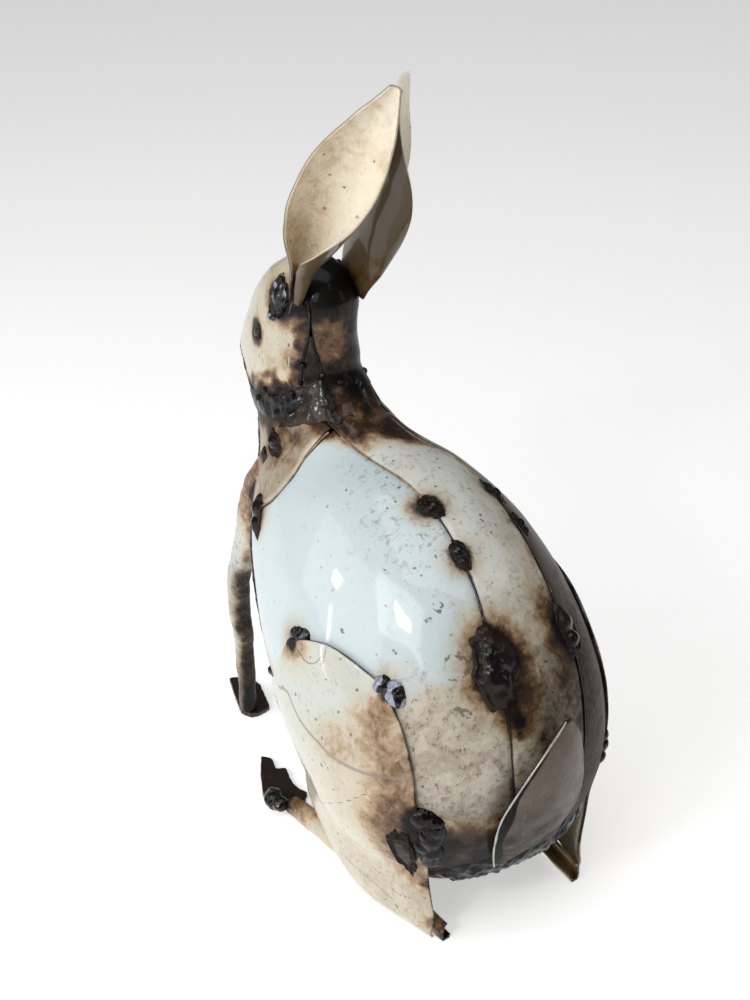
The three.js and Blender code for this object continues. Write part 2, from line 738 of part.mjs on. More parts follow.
// ---------------------------------------------------------------- tail
const tailSection = curveThrough(TAIL_SECTIONS);
function tailPoint(u, v) {
  const share = mix(TAIL_SECTIONS[0][0], TAIL_SECTIONS[TAIL_SECTIONS.length - 1][0], u);
  const [left, right, liftLeft, liftRight] = tailSection(share);
  const angle = mix(right, left, v);
  const surface = (s, a) => bodyPoint(s, a * 100);
  const lift = mix(liftRight, liftLeft, v) + TAIL_CROWN * Math.sin(Math.PI * v) * Math.sin(Math.PI * u);
  return surface(share, angle / 100).addScaledVector(normalAt(surface, share, angle / 100), lift);
}
add('tail', sheet(tailPoint, 9, 5, SHEET), PINK_GREY);

// ---------------------------------------------------------------- welds
// Lump that sits on a shell at a share and an angle, on the left or the right side.
function weldOn(point, [share, angle, along, across, height], side, seed, cutters) {
  const surface = (u, v) => point(u, v * 100);
  const centre = surface(share, side * angle / 100);
  const normal = normalAt(surface, share, side * angle / 100);
  const forward = surface(share + 0.01, side * angle / 100).sub(centre).normalize();
  forward.addScaledVector(normal, -forward.dot(normal)).normalize();
  const sideways = normal.clone().cross(forward);
  return weldBy(lump(centre, [forward, sideways, normal], [along, across, height], seed), ...cutters);
}

const axes = [vec(1, 0, 0), vec(0, 1, 0), vec(0, 0, 1)];
const plateBox = new THREE.BoxGeometry(ANY_WIDTH, ANY_WIDTH, 2 * (PLATE + TOUCH));
plateBox.deleteAttribute('normal');
plateBox.deleteAttribute('uv');
const plateRoom = asManifold(mergeVertices(plateBox));

SEAM_WELDS.forEach((row, k) => {
  add(`seam_weld_${k + 1}`, weldOn(bodyPoint, row, 1, k, [bodyCore]), DARK_STEEL);
});

for (const [name, side] of sides) {
  const legRoom = roomOfBar(FORELEG_PATH, FORELEG_GRID, side);
  SHOULDER_WELDS.forEach((row, k) => {
    add(`${name}_shoulder_weld_${k + 1}`, weldOn(bodyPoint, row, side, k, [bodyCore, legRoom]), DARK_STEEL);
  });
  const haunchTop = lump(haunches[name](0, 0.5), axes, HAUNCH_TIP_ROOM, 0, 6, 8);
  const haunchRoom = roomOfSheet(haunches[name], HAUNCH_GRID, UNDER_HAUNCH, side).add(asManifold(haunchTop));
  HAUNCH_WELDS[name].forEach(([x, y, z, ...radii], k) => {
    const ball = lump(vec(side * x, y, z), axes, radii, k + 3);
    add(`${name}_haunch_weld_${k + 1}`, weldBy(ball, bodyCore, haunchRoom), DARK_STEEL);
  });
  const [toeX, toeY, toeZ, ...toeRadii] = TOE_WELD;
  const footRoom = roomOfBar(HIND_FOOT_PATH, FOOT_GRID, side, heelMoves[name]);
  const toeLump = lump(vec(side * toeX, toeY, toeZ), axes, toeRadii, side);
  add(`${name}_toe_weld`, weldBy(toeLump, footRoom, plateRoom), DARK_STEEL);
  const earRoom = roomOfSheet(ears[name], EAR_GRID, EAR_SHEET, side);
  add(`${name}_eye`, weldOn(headPoint, EYE, side, 2, [headCore]), DARK_STEEL);
  add(`${name}_ear_weld`, weldOn(headPoint, EAR_WELD, side, 5, [headCore, earRoom]), DARK_STEEL);
}

const [crownRadii, crownCentre] = CROWN_WELD;
const [baseRadii, baseCentre] = BASE_WELD;
add('crown_weld', weldBy(lump(vec(...crownCentre), axes, crownRadii, 1), headCore), DARK_STEEL);
add('base_weld', weldBy(lump(vec(...baseCentre), axes, baseRadii, 2), bodyCore), DARK_STEEL);

// Neck weld: a hoop in the gap between body and head, swelling outwards.
function neckWeld(steps) {
  const rings = [];
  const middle = vec(0, NECK_Y, NECK_Z - NECK_WELD_DROP);
  for (let i = 0; i < steps; i += 1) {
    const angle = i / steps * 360;
    const below = bodyPoint(1, angle);
    const above = headPoint(0, angle);
    const outward = below.clone().lerp(above, 0.5).sub(middle).normalize();
    const swell = 1 + NECK_WELD_SWELL * Math.sin(7 * i);
    rings.push(NECK_WELD.map(([out, share]) => below.clone().lerp(above, share)
      .addScaledVector(outward, out > 1 ? out * swell : out)));
  }
  return aroundRings(rings);
}
add('neck_weld', neckWeld(30), DARK_STEEL);

// Rump weld: a rough bar along the lower edge of the rump, that closes the body below.
function rumpWeld(steps, around) {
  const [share, end, radius] = RUMP_WELD;
  const rings = [];
  for (let i = 0; i <= steps; i += 1) {
    const angle = mix(-end, end, i / steps);
    const middle = bodyPoint(share, angle);
    const along = bodyPoint(share, angle + 1).sub(middle).normalize();
    const up = vec(0, 0, 1).addScaledVector(along, -along.z).normalize();
    const out = along.clone().cross(up);
    const swell = radius * (1 + RUMP_WELD_SWELL * Math.sin(5 * i));
    const ring = [];
    for (let j = 0; j < around; j += 1) {
      const turn = j / around * 2 * Math.PI;
      ring.push(middle.clone().addScaledVector(out, swell * Math.cos(turn))
        .addScaledVector(up, swell * Math.sin(turn)));
    }
    rings.push(ring);
  }
  return throughRings(rings.reverse());
}
add('rump_weld', weldBy(rumpWeld(12, 5), bodyCore), DARK_STEEL);

// The origin is the middle of the box round the hare, on the floor.
const box = new THREE.Box3().setFromObject(hare);
const middle = box.getCenter(vec(0, 0, 0));
hare.position.set(-middle.x, -middle.y, -box.min.z);

export default hare;
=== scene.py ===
import math

import bpy
import numpy as np
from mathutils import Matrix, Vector


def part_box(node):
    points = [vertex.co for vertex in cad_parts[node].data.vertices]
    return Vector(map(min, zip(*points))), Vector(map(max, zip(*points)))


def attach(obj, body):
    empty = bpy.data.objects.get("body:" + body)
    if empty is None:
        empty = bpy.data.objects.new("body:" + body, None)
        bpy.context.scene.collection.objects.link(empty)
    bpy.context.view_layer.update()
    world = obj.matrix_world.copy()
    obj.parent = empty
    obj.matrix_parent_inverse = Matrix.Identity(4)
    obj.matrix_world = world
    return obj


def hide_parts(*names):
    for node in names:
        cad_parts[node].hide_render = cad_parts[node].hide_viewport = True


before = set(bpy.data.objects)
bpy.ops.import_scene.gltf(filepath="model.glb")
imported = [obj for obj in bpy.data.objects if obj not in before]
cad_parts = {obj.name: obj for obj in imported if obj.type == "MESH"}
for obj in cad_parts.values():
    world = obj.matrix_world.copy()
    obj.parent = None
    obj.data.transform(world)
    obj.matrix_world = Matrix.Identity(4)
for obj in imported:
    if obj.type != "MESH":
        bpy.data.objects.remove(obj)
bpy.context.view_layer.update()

# A sitting hare, welded up from hammered pieces of painted sheet steel: blue-grey and cream
# enamel, burnt brown and black round large glossy welds, under clear lacquer.

MM = 0.001
# The forepaw's plate ends at y -152, which fixes where the model's own zero lies.
PAW_REAR = -152 * MM
_, paw_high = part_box("left_forepaw")
SHIFT = np.array([0.0, paw_high[1] - PAW_REAR, 0.0])

# ------------------------------------------------------------------ form tables
# Millimetres; the hare looks along -Y, its left side is +X, the floor is at 0.
SHEET = 1.5       # thickness of the panels, haunches and hind feet
EAR_SHEET = 1.4   # of the ears
PLATE = 4.0       # of the cut plates of paws and toes
SEAM_GAP = 0.9    # open joint between two panels
SHARE_GAP = 0.0025  # the same where two panels meet end to end, as a share of the length

# share of the length, back y, back z, belly y, belly z, half width
BODY_SECTIONS = [
    [0.00, 90, 28, 82, 23, 6],
    [0.05, 106, 36, 62, 17, 35],
    [0.14, 124, 61, 28, 18, 63],
    [0.28, 134, 108, -22, 36, 88],
    [0.44, 126, 158, -66, 76, 96],
    [0.60, 100, 203, -104, 122, 93],
    [0.74, 61, 240, -128, 166, 81],
    [0.86, 13, 264, -142, 206, 61],
    [0.94, -32, 272, -149, 234, 42],
    [1.00, -69, 286, -153, 258, 34],
]
# share of the length, angle of the left back seam, of the right one
BACK_SEAMS = [
    [0.0, 22, -14], [0.34, 18, -17], [0.5, 15, -21], [0.62, 13, -23],
    [0.75, 9.5, -31], [0.83, 10, -38], [0.9, 16, -40], [1.0, 40, -34],
]
BELLY_SEAM = 128  # angle of the side seams from the spine
# angle from the spine, share of the length at which the shoulder patch starts
SHOULDER_LINE = [[0, 0.99], [38, 0.97], [64, 0.94], [80, 0.9], [98, 0.86], [132, 0.83]]
SHOULDER_SHARE = 0.93

NECK_Y, NECK_Z, HEAD_SLOPE, HEAD_HEIGHT = -111, 278, 0.33, 95
# height over the neck joint, middle y, half length, half width, narrowing of the muzzle
HEAD_SLICES = [
    [0, -112, 44, 34, 0], [13, -122, 46, 32.5, 0.1], [23, -128, 52, 33, 0.35],
    [34, -133, 56, 33, 0.5], [46, -132, 55, 32.5, 0.55], [60, -126, 50, 32, 0.5],
    [74, -124, 41, 27.5, 0.4], [87, -122, 26, 18.5, 0.25], [95, -118, 8, 7, 0],
]
# height over the neck joint, angle of the left nape seam, of the right one
NAPE_SEAMS = [[0, 50, 23], [22, 43, 26], [42, 35, 32], [64, 37, 37], [95, 42, 42]]
NAPE_TOP = 42
# angle from the nape, share of the height at which the jaw ends
MOUTH_LINE = [[96, 0], [118, 0.1], [140, 0.3], [160, 0.38], [180, 0.4]]
JAW_EDGE = 104    # angle of the jaw's side edges from the nape

# share, keel x y z, half width, depth, half angle of the roll
LEFT_EAR = [
    [0.0, 20.5, -94, 350.5, 5.5, 3, 160], [0.15, 18, -86, 373.5, 8, 7, 165],
    [0.25, 16.5, -79, 388.5, 12.5, 12, 155], [0.35, 15.4, -71.5, 403.2, 17.2, 15.8, 132],
    [0.52, 12.8, -59.2, 427.4, 22, 20.2, 97], [0.7, 10, -44, 453, 21.2, 16.6, 80],
    [0.86, 8.2, -29.2, 475, 13, 6.8, 70], [1.0, 7.2, -15.5, 494, 4, 3, 60],
]
RIGHT_EAR = [
    [0.0, 17.2, -94, 350.5, 14, 2, 140], [0.15, 14.7, -86, 373.5, 21.5, 8.7, 140],
    [0.35, 14.2, -71, 403.2, 17.6, 16.3, 115], [0.52, 14.2, -57.8, 427.4, 16.5, 19.6, 95],
    [0.7, 11.2, -44.2, 453, 16.1, 17.7, 80], [0.86, 8.3, -29.9, 475, 12.5, 9.8, 70],
    [1.0, 5.2, -18.7, 494, 8.5, 6, 60],
]
# way that the mouth of the ear faces at its root, and its turn from there to the tip, in degrees
EAR_TURNS = {"left": (8, 52), "right": (3, 57)}
RIGHT_EAR_LEAN = (4, -4.5, 2)

# share, x, y, z of the rear and of the front edge, and share, bulge between them
HAUNCH_REAR = [
    [0.0, 80, -2, 183], [0.12, 80, 24, 191], [0.24, 77, 48, 188], [0.36, 72, 70, 178],
    [0.52, 72, 91, 148], [0.7, 71, 101, 104], [0.86, 66, 100, 52], [1.0, 61, 101, 16],
]
HAUNCH_FRONT = [
    [0.0, 82, -6, 180], [0.12, 78, -14, 160], [0.24, 70, -26, 134], [0.36, 63, -37, 102],
    [0.52, 62, -38, 62], [0.7, 68, -22, 28], [0.86, 74, 36, 5], [1.0, 62, 100, 2],
]
HAUNCH_BULGE = [[0, 1], [0.12, 3], [0.36, 12], [0.6, 16], [0.8, 9], [1, 3]]
HAUNCH_LIFT = 3.5  # least gap between the haunch and the flank
HEEL_IN, HEEL_BACK = 11, 10  # moves of the right heel
# the painted line and the cracks, by the haunch's two shares
HAUNCH_LINE = [
    (0.25, 0.2), (0.278, 0.347), (0.375, 0.467), (0.441, 0.583), (0.492, 0.673),
    (0.525, 0.759), (0.548, 0.829), (0.562, 0.884), (0.582, 0.97),
]
HAUNCH_CRACKS = [
    [(0.676, 0.136), (0.65, 0.35), (0.632, 0.528), (0.622, 0.668), (0.602, 0.814)],
    [(0.13, 0.99), (0.165, 0.88), (0.207, 0.764)],
    [(0.692, 0.06), (0.742, 0.211), (0.799, 0.22), (0.85, 0.42), (0.9, 0.5)],
    [(0.10, 0.55), (0.17, 0.62), (0.19, 0.72), (0.17, 0.82)],
    [(0.82, 0.75), (0.87, 0.6), (0.9, 0.75)],
]

# share, x, y, z, half width, half depth
FORELEG_PATH = [
    [0.0, 38, -102, 244, 4, 10], [0.2, 43.5, -118.5, 214, 5, 10], [0.45, 42.5, -134.5, 168, 6.5, 9],
    [0.68, 41.5, -149, 118, 7, 8], [0.85, 35.5, -154.5, 62, 6.5, 7], [1.0, 31, -162, 4.6, 5.5, 6],
]
HIND_FOOT_PATH = [
    [0.0, 55, 104.5, 6, 3.6, 8], [0.3, 57, 62, 6.5, 6, 9], [0.65, 61, -2, 7.5, 7.5, 10],
    [1.0, 65.5, -50, 6.5, 6, 8.5],
]
FOOT_ROLL = (200, 460)  # angles between which the sheet of a hind foot is rolled
# outlines of the cut plates under the left feet, and a point inside each
FOREPAW = [
    (22, -204), (8, -197), (7, -182), (16, -154), (27, -152), (33, -154), (37, -163), (31, -181),
]
FOREPAW_MIDDLE = (26, -165)
HIND_TOES = [
    (53, -110), (48, -103), (52, -92), (46, -88), (50, -75), (51, -64), (48, -56), (54, -51.5),
    (66, -51.5), (77, -58), (77, -68), (73, -78), (64, -94),
]
HIND_TOES_MIDDLE = (64, -70)

# share of the body, left angle, right angle, lift of the left edge, of the right edge
TAIL_SECTIONS = [
    [0.165, 30, 22, 4.5, 4.5], [0.2, 30, -2, 5.5, 4.5], [0.24, 29, -10.5, 7, 5],
    [0.3, 25.5, -12.5, 9.5, 5.5], [0.36, 17.5, -11, 12, 6.5], [0.41, 8, -8, 13, 9],
    [0.445, -0.5, -3.5, 13, 12],
]
TAIL_CROWN = 4    # height of the bulge in the middle of the tail


# ------------------------------------------------------------------ curves and forms
def curve(rows):
    """Smooth curve through rows whose first value is the parameter: cubic pieces, and the
    slope at a row is that from the row before it to the row after it."""
    rows = np.array(rows, float)
    last = len(rows) - 1
    before = np.maximum(np.arange(last + 1) - 1, 0)
    after = np.minimum(np.arange(last + 1) + 1, last)
    step = rows[:, 0]
    values = rows[:, 1:]
    slope = (values[after] - values[before]) / (step[after] - step[before])[:, None]

    def at(t):
        t = np.asarray(t, float)
        i = np.clip(np.searchsorted(step, t) - 1, 0, last - 1)
        width = step[i + 1] - step[i]
        u = ((t - step[i]) / width)[..., None]
        width = width[..., None]
        return (
            (2 * u**3 - 3 * u**2 + 1) * values[i]
            + (u**3 - 2 * u**2 + u) * width * slope[i]
            + (3 * u**2 - 2 * u**3) * values[i + 1]
            + (u**3 - u**2) * width * slope[i + 1]
        )

    return at


def mix(a, b, share):
    """a + (b - a) * share."""
    return a + (b - a) * share


def bell(x, width):
    """exp(-(x / width)^2): 1 at 0, and next to nothing from twice the width on."""
    return np.exp(-((x / width) ** 2))


def joined(*shares):
    """1 minus the product of what each share leaves."""
    left = 1
    for share in shares:
        left = left * (1 - share)
    return 1 - left


def mirrored(side):
    """What the left side's points are multiplied by for a side."""
    return np.array([1, 1, 1]) if side == "left" else np.array([-1, 1, 1])


def within_half_turn(degrees):
    """The same angle between -180 and 180."""
    return (degrees + 180) % 360 - 180


def smooth(low, high, x):
    """0 below low, 1 above high, and the cubic 3t^2 - 2t^3 between them."""
    t = np.clip((x - low) / (high - low), 0, 1)
    return t * t * (3 - 2 * t)


def unit(vectors):
    """The same directions with length 1."""
    return vectors / np.maximum(np.linalg.norm(vectors, axis=-1, keepdims=True), 1e-9)


def points_of(x, y, z):
    """Points from three arrays of coordinates, or numbers, that fit each other."""
    return np.stack(np.broadcast_arrays(x, y, z), axis=-1).astype(float)


body_section = curve(BODY_SECTIONS)
back_seams = curve(BACK_SEAMS)
shoulder_line = curve(SHOULDER_LINE)
head_slice = curve(HEAD_SLICES)
nape_seams = curve(NAPE_SEAMS)
mouth_line = curve(MOUTH_LINE)


def body_point(share, degrees):
    """A point of the body: x is the half width times the sine of the angle from the spine,
    and y and z lie between belly and back at (1 + cosine) / 2 of the way."""
    back_y, back_z, belly_y, belly_z, half = np.moveaxis(body_section(share), -1, 0)
    angle = np.radians(degrees)
    along = (1 + np.cos(angle)) / 2
    return points_of(half * np.sin(angle), mix(belly_y, back_y, along), mix(belly_z, back_z, along))


def head_point(share, degrees):
    """A point of the head: an oval slice, parallel to the neck joint, whose front narrows to
    the muzzle by the square of (1 - cosine) / 2."""
    middle, length, half, narrow = np.moveaxis(head_slice(share * HEAD_HEIGHT), -1, 0)
    angle = np.radians(degrees)
    forward = ((1 - np.cos(angle)) / 2) ** 2
    sine = np.sin(angle)
    across = np.sign(sine) * np.abs(sine) ** (1 - 0.25 * forward)
    y = middle + length * np.cos(angle)
    z = NECK_Z + share * HEAD_HEIGHT + HEAD_SLOPE * (y - NECK_Y)
    return points_of(half * across * (1 - narrow * forward), y, z)


def body_gap(share):
    """Angle that half a seam gap takes at a share of the body."""
    back_y, _, belly_y, _, half = np.moveaxis(body_section(share), -1, 0)
    radius = np.maximum(np.maximum(half, (back_y - belly_y) / 4), 4)
    return np.degrees(SEAM_GAP / 2 / radius)


def head_gap(share):
    """The same on the head."""
    return np.degrees(SEAM_GAP / 2 / np.maximum(head_slice(share * HEAD_HEIGHT)[..., 2], 8))


HALVINGS = 24


def body_half_width(y, z):
    """Half width of the body where its side view shows the point y, z: the section that
    passes there is found by halving, then x is half width times root(1 - along^2)."""
    low, high = np.zeros_like(y), np.ones_like(y)
    along = np.zeros_like(y)
    for _ in range(HALVINGS):
        share = (low + high) / 2
        back_y, back_z, belly_y, belly_z, _ = np.moveaxis(body_section(share), -1, 0)
        dy, dz = (back_y - belly_y) / 2, (back_z - belly_z) / 2
        off_y, off_z = y - belly_y - dy, z - belly_z - dz
        along = (off_y * dy + off_z * dz) / (dy * dy + dz * dz)
        above = dy * off_z - dz * off_y > 0
        low, high = np.where(above, share, low), np.where(above, high, share)
    half = body_section(low)[..., 4]
    inside = np.clip(1 - along * along, 0, 1)
    return np.where(np.abs(along) < 1, half * np.sqrt(inside), -half)


def ear_surface(side):
    """An ear is an arc across its keel that opens to the side and turns backwards with the
    share: keel + back * half width * sin(arc) + open * depth * (1 - cos(arc))."""
    section = curve(LEFT_EAR if side == "left" else RIGHT_EAR)
    root, twist = EAR_TURNS[side]

    def at(u, v):
        x, y, z, half, depth, roll = np.moveaxis(section(u), -1, 0)
        ahead = section(u + 0.01)[..., :3]
        axis = unit(ahead - points_of(x, y, z))
        turn = np.radians(root + twist * u)
        open_way = points_of(np.cos(turn), np.sin(turn), 0 * turn)
        open_way = unit(open_way - axis * (axis * open_way).sum(-1, keepdims=True))
        back = np.cross(axis, open_way)
        arc = np.radians((2 * v - 1) * roll)
        place = points_of(x, y, z) + back * (half * np.sin(arc))[..., None]
        place = place + open_way * (depth * (1 - np.cos(arc)))[..., None]
        if side == "right":
            place = place * (-1, 1, 1) + np.multiply.outer(u, RIGHT_EAR_LEAN)
        return place

    return at


haunch_rear, haunch_front, haunch_bulge = curve(HAUNCH_REAR), curve(HAUNCH_FRONT), curve(HAUNCH_BULGE)


def heel_in(points):
    """The right heel stands closer to the middle: x and y move by the share behind y = 10
    and below z = 110."""
    share = np.clip((points[..., 1] - 10) / 90, 0, 1) * np.clip((110 - points[..., 2]) / 90, 0, 1)
    return points + np.multiply.outer(share, (-HEEL_IN, HEEL_BACK, 0))


def haunch_surface(side):
    """A haunch goes from its front edge to its rear edge, bulges by (1 - (2v - 1)^2)^0.75, and
    stays the lift outside the flank by a smooth maximum."""

    def at(u, v):
        place = mix(haunch_front(u), haunch_rear(u), np.asarray(v, float)[..., None])
        if side == "right":
            place = heel_in(place)
        across = np.clip(1 - (2 * v - 1) ** 2, 0, 1) ** 0.75
        own = place[..., 0] + haunch_bulge(u)[..., 0] * across
        over = body_half_width(place[..., 1], place[..., 2]) + HAUNCH_LIFT
        place[..., 0] = (own + over + np.sqrt((own - over) ** 2 + 4)) / 2
        return place if side == "left" else place * (-1, 1, 1)

    return at


tail_section = curve(TAIL_SECTIONS)


SMALL_STEP = 1e-3


def normal_at(surface, u, v):
    """Direction square to a surface, from two small steps on it."""
    along = surface(u + SMALL_STEP, v) - surface(u - SMALL_STEP, v)
    across = surface(u, v + SMALL_STEP) - surface(u, v - SMALL_STEP)
    return unit(np.cross(along, across))


def in_hundreds(point):
    """A surface with its second parameter in hundreds, so that small steps suit both ways."""
    return lambda share, hundreds: point(share, hundreds * 100)


body_wide = in_hundreds(body_point)


def tail_surface(u, v):
    """The tail lies over the body between two edges, lifted off it by a height that goes
    from the right edge's to the left edge's, plus a crown of sin(pi u) sin(pi v)."""
    share = mix(TAIL_SECTIONS[0][0], TAIL_SECTIONS[-1][0], u)
    left, right, lift_left, lift_right = np.moveaxis(tail_section(share), -1, 0)
    hundreds = mix(right, left, v) / 100
    lift = mix(lift_right, lift_left, v) + TAIL_CROWN * np.sin(np.pi * v) * np.sin(np.pi * u)
    return body_wide(share, hundreds) + normal_at(body_wide, share, hundreds) * lift[..., None]


def shell_part(point, start_angle, end_angle, start_share, end_share, at_share):
    """Part of a shell between two side edges, given as angles that change along it, and two
    end edges, given as shares that change round it. The share at an end depends on the angle
    and the angle on the share, so each end is looked up three times, from a first guess."""

    def at(u, v):
        def angle_at(share):
            return mix(start_angle(share), end_angle(share), v)

        def edge(line):
            share = np.full(np.shape(u), at_share)
            for _ in range(3):
                share = line(angle_at(share))
            return share

        share = mix(edge(start_share), edge(end_share), u)
        return point(share, angle_at(share))

    return at


# ------------------------------------------------------------------ uneven surfaces
WAVES = 14


def ripples(points, wavelength, seed):
    """Smooth unevenness between about -1 and 1: a sum of plane waves sin(k . p + phase) whose
    directions are spread over a sphere and whose lengths lie near the wavelength."""
    draw = np.random.default_rng(seed)
    ways = unit(draw.normal(size=(WAVES, 3)))
    lengths = wavelength * draw.uniform(0.7, 1.5, WAVES)
    phases = draw.uniform(0, 2 * np.pi, WAVES)
    turns = points @ (ways / lengths[:, None]).T * 2 * np.pi
    return np.sin(turns + phases).sum(-1) / np.sqrt(WAVES * 1.6)


def path_distance(points, path):
    """Distance from each point to a line through the path's points: the shortest to any of
    its straight steps, where the foot on a step is clipped to its ends."""
    path = np.asarray(path, float)
    nearest = np.full(points.shape[:-1], 1e3)
    for start, end in zip(path[:-1], path[1:]):
        step = end - start
        foot = np.clip(((points - start) @ step) / (step @ step), 0, 1)
        gap = np.linalg.norm(points - start - foot[..., None] * step, axis=-1)
        nearest = np.minimum(nearest, gap)
    return nearest


def line_on(point, rows, steps):
    """A smooth line on a surface through rows of its two parameters, in steps between rows."""
    rows = np.array(rows, float)
    spread = curve(np.column_stack([np.arange(len(rows)), rows]))
    a, b = spread(np.linspace(0, len(rows) - 1, steps * (len(rows) - 1) + 1)).T
    return point(a, b)


# ------------------------------------------------------------------ marks of burning and wear
haunches = {"left": haunch_surface("left"), "right": haunch_surface("right")}
ears = {"left": ear_surface("left"), "right": ear_surface("right")}
SURFACES = {
    "body": body_point,
    "head": head_point,
    "left": haunches["left"],
    "right": haunches["right"],
    "tail": tail_surface,
    "ear": ears["left"],
    "other_ear": ears["right"],
}
# surface, its two parameters, radius and strength of the soot, radius and strength of the scorch
BODY_HALOS = [
    ("body", 0.829, 9.5, 11, 0.95, 15, 0.6),
    ("body", 0.832, 15, 7, 0.5, 11, 0.45),
    ("body", 0.749, 9.6, 9.5, 0.9, 13, 0.5),
    ("body", 0.731, 12, 4, 0.5, 12, 0.3),
    ("body", 0.61, 12, 13, 0.6, 20, 0.6),
    ("body", 0.575, 13.5, 20, 0.95, 27, 0.8),
    ("body", 0.535, 15, 18, 0.75, 26, 0.7),
    ("body", 0.49, 12.5, 6, 0.75, 13, 0.5),
    ("body", 0.462, 12, 6, 0.8, 13, 0.5),
    ("body", 0.435, 12.5, 4, 0.7, 13, 0.4),
    ("body", 0.808, -37, 12, 0.85, 19, 0.5),
    ("body", 0.751, -32.5, 10, 0.7, 15, 0.4),
    ("body", 0.61, -19, 12, 0.6, 17, 0.4),
    ("body", 0.575, -21, 15, 0.9, 22, 0.5),
    ("body", 0.535, -24, 15, 0.8, 22, 0.5),
    ("body", 0.44, -24, 9, 0.3, 20, 0.5),
    ("body", 0.21, -42, 26, 1.0, 44, 1.0),
    ("body", 0.225, 46, 11, 0.75, 26, 0.75),
    ("body", 0.16, 30, 12, 0.5, 22, 0.8),
    ("left", 0.76, 1.0, 17, 0.95, 27, 0.9),
    ("left", 0.36, 1.0, 7, 0.75, 11, 0.35),
    ("left", 0.02, 0.5, 9.5, 0.9, 15, 0.6),
    ("right", 0.02, 0.5, 9.5, 0.9, 15, 0.6),
    ("right", 0.74, 1.0, 20, 0.95, 34, 0.9),
    ("body", 0.955, 92, 9, 0.85, 15, 0.7),
    ("body", 0.955, -92, 9, 0.85, 15, 0.7),
    ("body", 0.835, 110, 10, 0.85, 16, 0.7),
    ("body", 0.835, -110, 10, 0.85, 16, 0.7),
    ("body", 0.965, 66, 4, 0.5, 8, 0.5),
]
HAUNCH_HALOS = [
    ("left", 0.43, 0.93, 10, 0.0, 22, 0.68),
    ("left", 0.48, 0.78, 10, 0.0, 24, 0.52),
    ("left", 0.44, 0.64, 10, 0.0, 17, 0.35),
    ("left", 0.54, 0.96, 8, 0.1, 17, 0.6),
    ("left", 0.61, 0.92, 8, 0.15, 22, 0.6),
    ("left", 0.69, 0.86, 10, 0.25, 25, 0.7),
    ("left", 0.76, 0.95, 17, 0.92, 28, 0.9),
    ("left", 0.70, 0.99, 13, 0.85, 22, 0.85),
    ("left", 0.80, 0.84, 10, 0.3, 22, 0.62),
    ("left", 0.87, 0.97, 7, 0.4, 13, 0.5),
    ("left", 0.02, 0.5, 8, 0.9, 16, 0.75),
    ("left", 0.09, 0.45, 5, 0.1, 16, 0.4),
    ("left", 0.36, 1.0, 7, 0.7, 12, 0.35),
    ("left", 0.99, 0.9, 5, 0.5, 10, 0.5),
    ("right", 0.55, 0.9, 10, 0.2, 26, 0.6),
    ("right", 0.74, 0.97, 16, 0.95, 28, 0.9),
    ("right", 0.02, 0.5, 8, 0.9, 16, 0.75),
    ("right", 0.99, 0.9, 5, 0.5, 10, 0.5),
]
HEAD_HALOS = [
    ("head", 0.736, 68, 15, 0.9, 19, 0.6),
    ("head", 0.736, -68, 10, 0.85, 16, 0.6),
    ("head", 0.66, 58, 8, 0.75, 12, 0.5),
    ("head", 0.62, 68, 9, 0.4, 14, 0.5),
    ("head", 0.80, 80, 8, 0.35, 12, 0.5),
    ("head", 0.50, 92, 12.5, 0.92, 17, 0.6),
    ("head", 0.50, -92, 6, 0.85, 9, 0.5),
    ("head", 0.25, 43, 6, 0.8, 11, 0.6),
    ("head", 0.30, 54, 6, 0.4, 12, 0.5),
    ("head", 0.93, 120, 6, 0.3, 12, 0.55),
    ("head", 0.93, -120, 6, 0.3, 12, 0.55),
    ("head", 0.27, 75, 5, 0.1, 8, 0.3),
    ("head", 0.42, 180, 9, 0.7, 15, 0.6),
]
EAR_HALOS = [
    ("ear", 0.0, 0.5, 9, 0.8, 22, 0.75),
    ("ear", 0.12, 0.15, 6, 0.0, 16, 0.3),
    ("ear", 0.42, 0.18, 8, 0.0, 16, 0.3),
    ("ear", 0.30, 0.36, 8, 0.0, 12, 0.2),
    ("ear", 0.62, 0.3, 8, 0.0, 14, 0.16),
    ("other_ear", 0.0, 0.5, 9, 0.9, 20, 0.9),
    ("other_ear", 0.16, 0.95, 10, 0.5, 22, 0.6),
]
# angle from the spine, share of the body's length from which the soot of the neck covers it
NECK_SOOT = [
    [-180, 0.97], [-100, 0.95], [-60, 0.93], [-37, 0.915], [-8, 0.948], [29, 0.957],
    [44, 0.972], [60, 0.985], [100, 0.975], [180, 0.97],
]
neck_soot = curve(NECK_SOOT)
# chips through the paint: share, angle, radius, and 1 for one that left only its ring
CHIPS = [
    (0.683, 26.6, 3.6, 1), (0.667, 31.4, 2.0, 1), (0.779, -9, 3.2, 1), (0.665, 62, 2.2, 1),
    (0.585, 27.5, 8.5, 1), (0.60, 24, 4.5, 1), (0.503, 29, 3.4, 1), (0.515, 31, 2.4, 0),
    (0.53, -2, 1.4, 0), (0.50, 3, 1.4, 1), (0.70, -8, 1.2, 0), (0.44, 33, 1.8, 1), (0.38, 44, 1.8, 0),
    (0.80, 3, 1.3, 0), (0.735, 16, 1.4, 0), (0.765, 18, 1.2, 0), (0.79, 20, 1.6, 1),
]


